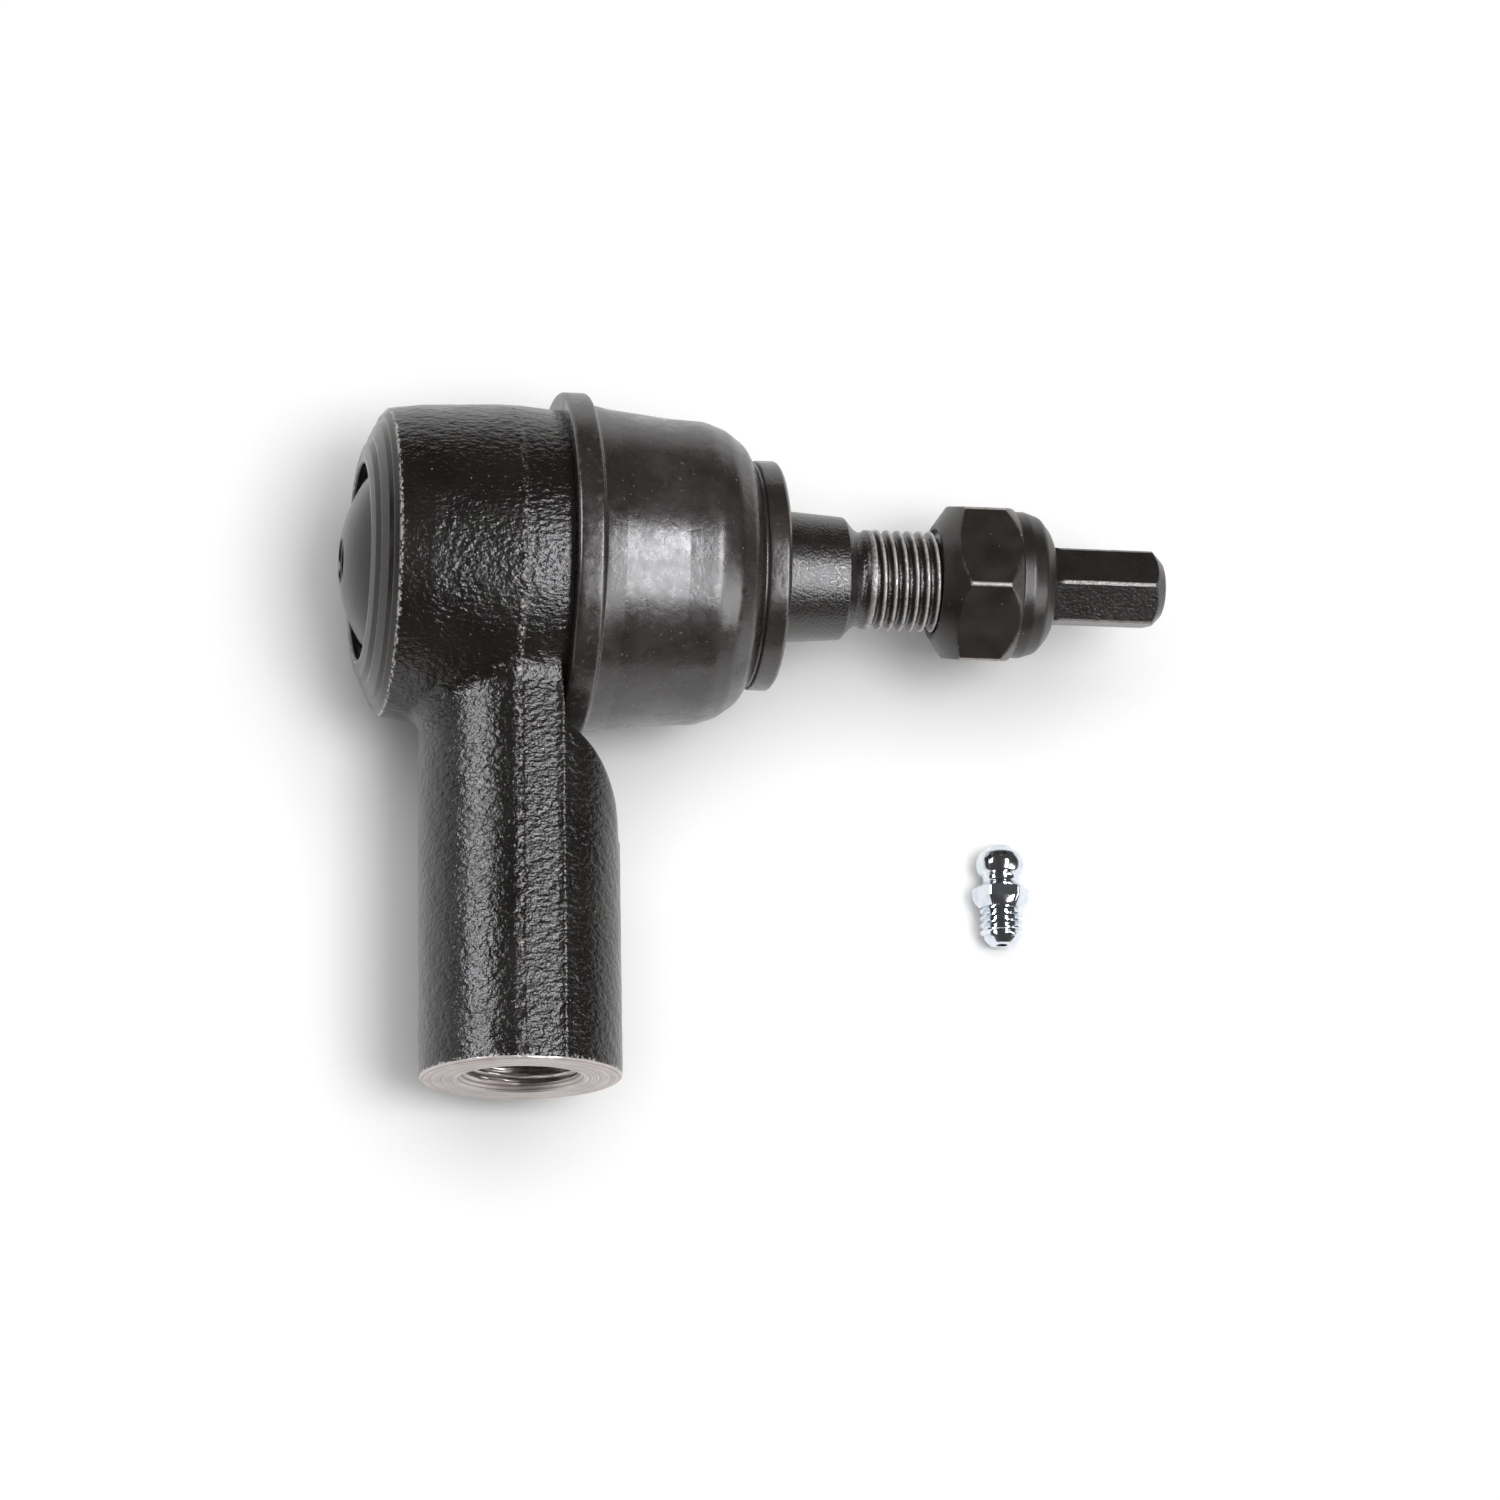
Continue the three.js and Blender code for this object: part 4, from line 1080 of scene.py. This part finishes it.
class OBJECT_OT_tie_rod_fitting(PieceOperator):
    """Make the loose grease fitting with its check ball and spring"""

    bl_idname = "object.tie_rod_fitting"
    bl_label = "Grease fitting"

    def execute(self, context):
        low, high = ((np.array(side) - BALL_CENTRE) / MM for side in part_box("grease_fitting"))
        place = ((low[0] + high[0]) / 2, low[1], low[2] + 3.5)
        length = high[1] - low[1]
        clocking = math.radians(27)
        angle = corner_angles(clocking)
        head = rounded([
            (5.2, 3.1), (6.5, 3.98, 0.25), (7.9, 3.98, 0.2), (8.3, 3.2, 0.1), (8.8, 2.6, 0.3),
            (9.2, 2.4, 0.4),
            (9.7, 2.45, 0.4), (10.3, 3.1, 1.2), (11.7, 3.45, 2), (13.0, 2.9, 1), (13.8, 1.8, 0.4),
            (length, 1.5, 0.15), (length, 0.8, 0.1), (13.4, 0.75),
        ], 6)
        passage = rounded([(13.3, 0.78), (12.5, 1.35, 0.1), (0.8, 1.35, 0.1), (0.5, 0.78, 0.1), (0, 0.75)])
        nose = rounded([(0, 0.9, 0.1), (0, 1.75, 0.3), (0.8, 2.45, 0.1)])
        thread_rows = np.arange(0.85, 5.15, 0.09)
        along = np.concatenate([nose[:, 0], thread_rows, head[:, 0], passage[:, 0]])
        plain = np.concatenate([
            nose[:, 1], np.full(len(thread_rows), 2.45), head[:, 1], passage[:, 1],
        ])
        full = np.clip((along - 0.8) / 0.7, 0, 1)
        ridge = 0.55 * thread_height(along[:, None], angle[None], 1.0, 0.2, 0.2) * full[:, None]
        in_thread = np.zeros(len(along), bool)
        in_thread[len(nose) : len(nose) + len(thread_rows)] = True
        radius = np.where(in_thread[:, None], plain[:, None] + ridge, plain[:, None])
        on_hex = (np.arange(len(along)) > len(nose)) & (along > 5.15) & (along < 8.25) & (plain > 2)
        flats = hexagon(angle, 7.0, clocking)
        radius = np.where(on_hex[:, None], np.minimum(radius, flats[None]), radius)
        body = turned("grease_fitting_body", along, radius, angle, "y", place, closed=True)
        clothe(body, zinc_plated_steel())
        self.settle(body, "fitting", "grease_fitting", "zinc_plate", 28)
        turn = np.linspace(math.pi, 0, 25)
        ball = turned(
            "grease_fitting_check", length - 2 + np.cos(turn), np.sin(turn), 48, "y", place,
        )
        clothe(ball, zinc_plated_steel())
        self.settle(ball, "check_ball", "grease_fitting_ball", "ball_steel")
        spring = coil("grease_fitting_coil", place, 1.15, length - 3.5, 0.85, 0.15, 6)
        clothe(spring, spring_steel())
        self.settle(spring, "fitting", "grease_fitting_spring", "ball_steel", 60)
        return {"FINISHED"}


def coil(name, place, start, end, radius, wire, turns):
    """A round wire wound about y: centre(t) climbs evenly, and a circle is carried along in its frame.

    The circle's two directions are outwards from the axis and the cross product of that with the path.
    The ends are closed with one vertex each.
    """
    steps, sides = turns * 28, 10
    t = np.linspace(0, 1, steps + 1)
    angle = TAU * turns * t
    outward = np.stack([np.sin(angle), np.zeros_like(t), np.cos(angle)], 1)
    centre = np.asarray(place) + radius * outward + (start + (end - start) * t)[:, None] * (0, 1, 0)
    path = np.gradient(centre, axis=0)
    path /= np.linalg.norm(path, axis=1)[:, None]
    side = np.cross(path, outward)
    around = np.arange(sides) * TAU / sides
    ring = np.cos(around)[None, :, None] * outward[:, None] + np.sin(around)[None, :, None] * side[:, None]
    grid = (centre[:, None] + wire * ring).reshape(-1, 3)
    quads = grid_faces(steps + 1, sides)[:, [0, 3, 2, 1]]
    j = np.arange(sides)
    after = np.roll(j, -1)
    first, last, tail = len(grid), len(grid) + 1, steps * sides
    fans = [(first, int(b), int(a)) for a, b in zip(after, j)] + [
        (last, int(tail + b), int(tail + a)) for a, b in zip(j, after)
    ]
    return loop_mesh(name, np.concatenate([grid, centre[:1], centre[-1:]]), quads.tolist() + fans)


class OBJECT_OT_tie_rod_inside(PieceOperator):
    """Make the bearings, the spring washer and the boot's rings, which lie inside"""

    bl_idname = "object.tie_rod_inside"
    bl_label = "Inside pieces"

    def execute(self, context):
        ball = 13.3
        upper = np.linspace(math.acos(7.4 / ball), math.acos(0.3 / ball), 16)
        lower = np.linspace(math.acos(-0.3 / ball), math.pi - math.asin(4 / ball), 22)
        sphere = [np.stack([ball * np.cos(a), ball * np.sin(a)], 1) for a in (upper, lower)]
        plans = (
            ("upper_bearing", "bearing", acetal, [
                (0.3, 13.6), (0.3, 15.7, 0.3), (2.2, 15.7, 0.6), (7.4, 11.63, 0.1),
            ], sphere[0]),
            ("lower_bearing", "bearing", acetal, [
                (-14.9, 4.3), (-14.9, 15.7, 0.4), (-0.3, 15.7, 0.3), (-0.3, 13.6),
            ], sphere[1]),
            ("preload_washer", "spring_steel", spring_steel, [
                (-16.1, 6.05), (-17.25, 15.3, 0.2), (-16.4, 15.3, 0.2), (-15.25, 6.05, 0.1), (-16.0, 6.0),
            ], None),
            ("boot_base_ring", "spring_steel", spring_steel, [
                (6.25, 20.05), (6.25, 21.65, 0.2), (7.85, 21.65, 0.2), (7.85, 20.05, 0.2), (6.35, 20.0),
            ], None),
            ("boot_neck_ring", "spring_steel", spring_steel, [
                (31.75, 10.05), (31.75, 11.85, 0.3), (33.75, 11.85, 0.3), (33.75, 10.05, 0.3), (31.85, 10.0),
            ], None),
        )
        bodies = {"boot_base_ring": "boot", "boot_neck_ring": "neck_seal"}
        for node, slot, finish, corners, curve in plans:
            path = rounded(corners)
            if curve is not None:
                path = np.concatenate([path, curve])
            piece = turned(node + "_turned", path[:, 0], path[:, 1], 128, closed=True)
            clothe(piece, finish())
            self.settle(piece, bodies.get(node, "root"), node, slot)
        return {"FINISHED"}


# ---- stage


def lamp(name, place_mm, target_mm, width, height, radiance, colour=(1, 1, 1)):
    """A soft rectangular lamp in millimetres about the ball, turned to face a point.

    Its power is pi times its area times its radiance, where white card fully lit by 1 has radiance 1.
    """
    data = bpy.data.lights.new(name, "AREA")
    data.shape = "RECTANGLE"
    data.size, data.size_y = width * MM, height * MM
    data.energy = math.pi * width * height * MM * MM * radiance
    data.color = colour
    obj = bpy.data.objects.new(name, data)
    bpy.context.scene.collection.objects.link(obj)
    place = BALL_CENTRE + np.array(place_mm) * MM
    back = place - (BALL_CENTRE + np.array(target_mm) * MM)
    back /= np.linalg.norm(back)
    side = np.cross((0, 1, 0), back)
    side /= np.linalg.norm(side)
    up = np.cross(back, side)
    obj.matrix_world = Matrix.LocRotScale(place, Matrix(np.stack([side, up, back], 1)).to_quaternion(), None)
    return obj


class OBJECT_OT_tie_rod_stage(bpy.types.Operator):
    """Make the white floor, the soft lamps, the pale surroundings and the camera"""

    bl_idname = "object.tie_rod_stage"
    bl_label = "Stage"

    def execute(self, context):
        scene = context.scene
        stage = scene.tie_rod_stage
        half = 2.0
        floor_mesh = bpy.data.meshes.new("studio_floor")
        corners = [(-half, -half, 0), (half, -half, 0), (half, half, 0), (-half, half, 0)]
        floor_mesh.from_pydata(corners, [], [(0, 1, 2, 3)])
        floor = bpy.data.objects.new("studio_floor", floor_mesh)
        scene.collection.objects.link(floor)
        floor.location.z = -0.0002
        clothe(floor, studio_floor())
        glow = stage.lamp_power
        lamps = (
            lamp("key_strip", (690, -290, 1500), (20, -10, 0), 350, 1500, 17 * glow, (0.97, 0.965, 1)),
            lamp("right_box", (1350, -760, 900), (20, -10, 0), 1000, 900, 4 * glow),
            lamp("left_box", (-1250, 350, 850), (0, -20, 0), 480, 1000, 11 * glow, (0.97, 0.965, 1)),
        )
        for each in lamps:
            each.visible_diffuse = False
        overhead = lamp("overhead_key", (220, -240, 1200), (20, -20, 0), 400, 400, 10.5 * glow)
        fill = lamp("overhead_fill", (20, -20, 900), (20, -20, 0), 1050, 1050, 2.6 * glow)
        overhead.visible_glossy = fill.visible_glossy = False
        world = bpy.data.worlds.new("pale_studio")
        world.use_nodes = True
        tree = world.node_tree
        background = next(n for n in tree.nodes if n.type == "BACKGROUND")
        height = add_node(tree, "SeparateXYZ", [add_node(tree, "TexCoord", out="Generated")], 2)
        fade = add_node(tree, "MapRange", [height, 0, 0.25])
        greys = {0: fade, 6: (0.17, 0.16, 0.155, 1), 7: (0.064, 0.06, 0.057, 1)}
        tone = add_node(tree, "Mix", greys, 2, data_type="RGBA")
        tree.links.new(tone, background.inputs["Color"])
        scene.world = world
        scene.view_settings.view_transform = "Standard"
        camera_data = bpy.data.cameras.new("camera")
        camera_data.lens = stage.lens
        camera_data.sensor_width = 36
        camera_data.clip_start = 0.01
        camera_data.clip_end = 20
        camera = bpy.data.objects.new("camera", camera_data)
        scene.collection.objects.link(camera)
        turn = (
            Matrix.Rotation(stage.roll, 3, "Z")
            @ Matrix.Rotation(-stage.pitch, 3, "X")
            @ Matrix.Rotation(stage.yaw, 3, "Y")
        )
        aim_x, aim_y = 31.74, -24.92
        place = turn.transposed() @ (Matrix.Translation((aim_x * MM, aim_y * MM, stage.distance)).translation)
        matrix = turn.transposed().to_4x4()
        matrix.translation = place + Matrix.Translation(BALL_CENTRE).translation
        camera.matrix_world = matrix
        scene.camera = camera
        return {"FINISHED"}


# ---- add-on


STEPS = (
    OBJECT_OT_tie_rod_stage,
    OBJECT_OT_tie_rod_housing,
    OBJECT_OT_tie_rod_cover,
    OBJECT_OT_tie_rod_boot,
    OBJECT_OT_tie_rod_stud,
    OBJECT_OT_tie_rod_nut,
    OBJECT_OT_tie_rod_fitting,
    OBJECT_OT_tie_rod_inside,
)


class VIEW3D_PT_tie_rod(bpy.types.Panel):
    """Lists the pieces and the sizes and colours they are made with"""

    bl_label = "Tie Rod End"
    bl_space_type = "VIEW_3D"
    bl_region_type = "UI"
    bl_category = "Tie Rod End"

    def draw(self, context):
        layout = self.layout
        for step in STEPS:
            layout.operator(step.bl_idname)
        for name, group in GROUPS.items():
            box = layout.box()
            for key in group.__annotations__:
                box.prop(getattr(context.scene, name), key)


GROUPS = {
    "tie_rod_forging": ForgingSizes,
    "tie_rod_boot": BootSizes,
    "tie_rod_stud": StudSizes,
    "tie_rod_finishes": Finishes,
    "tie_rod_stage": StageSettings,
}


def register():
    """Register the classes and put the property groups on the scene."""
    for cls in (*GROUPS.values(), *STEPS, VIEW3D_PT_tie_rod):
        bpy.utils.register_class(cls)
    for name, group in GROUPS.items():
        setattr(bpy.types.Scene, name, PointerProperty(type=group))


def unregister():
    """Remove what register added."""
    for name in GROUPS:
        delattr(bpy.types.Scene, name)
    for cls in (VIEW3D_PT_tie_rod, *STEPS[::-1], *reversed(GROUPS.values())):
        bpy.utils.unregister_class(cls)


def main():
    register()
    for step in STEPS:
        kind, name = step.bl_idname.split(".")
        getattr(getattr(bpy.ops, kind), name)()


if __name__ == "__main__":
    main()
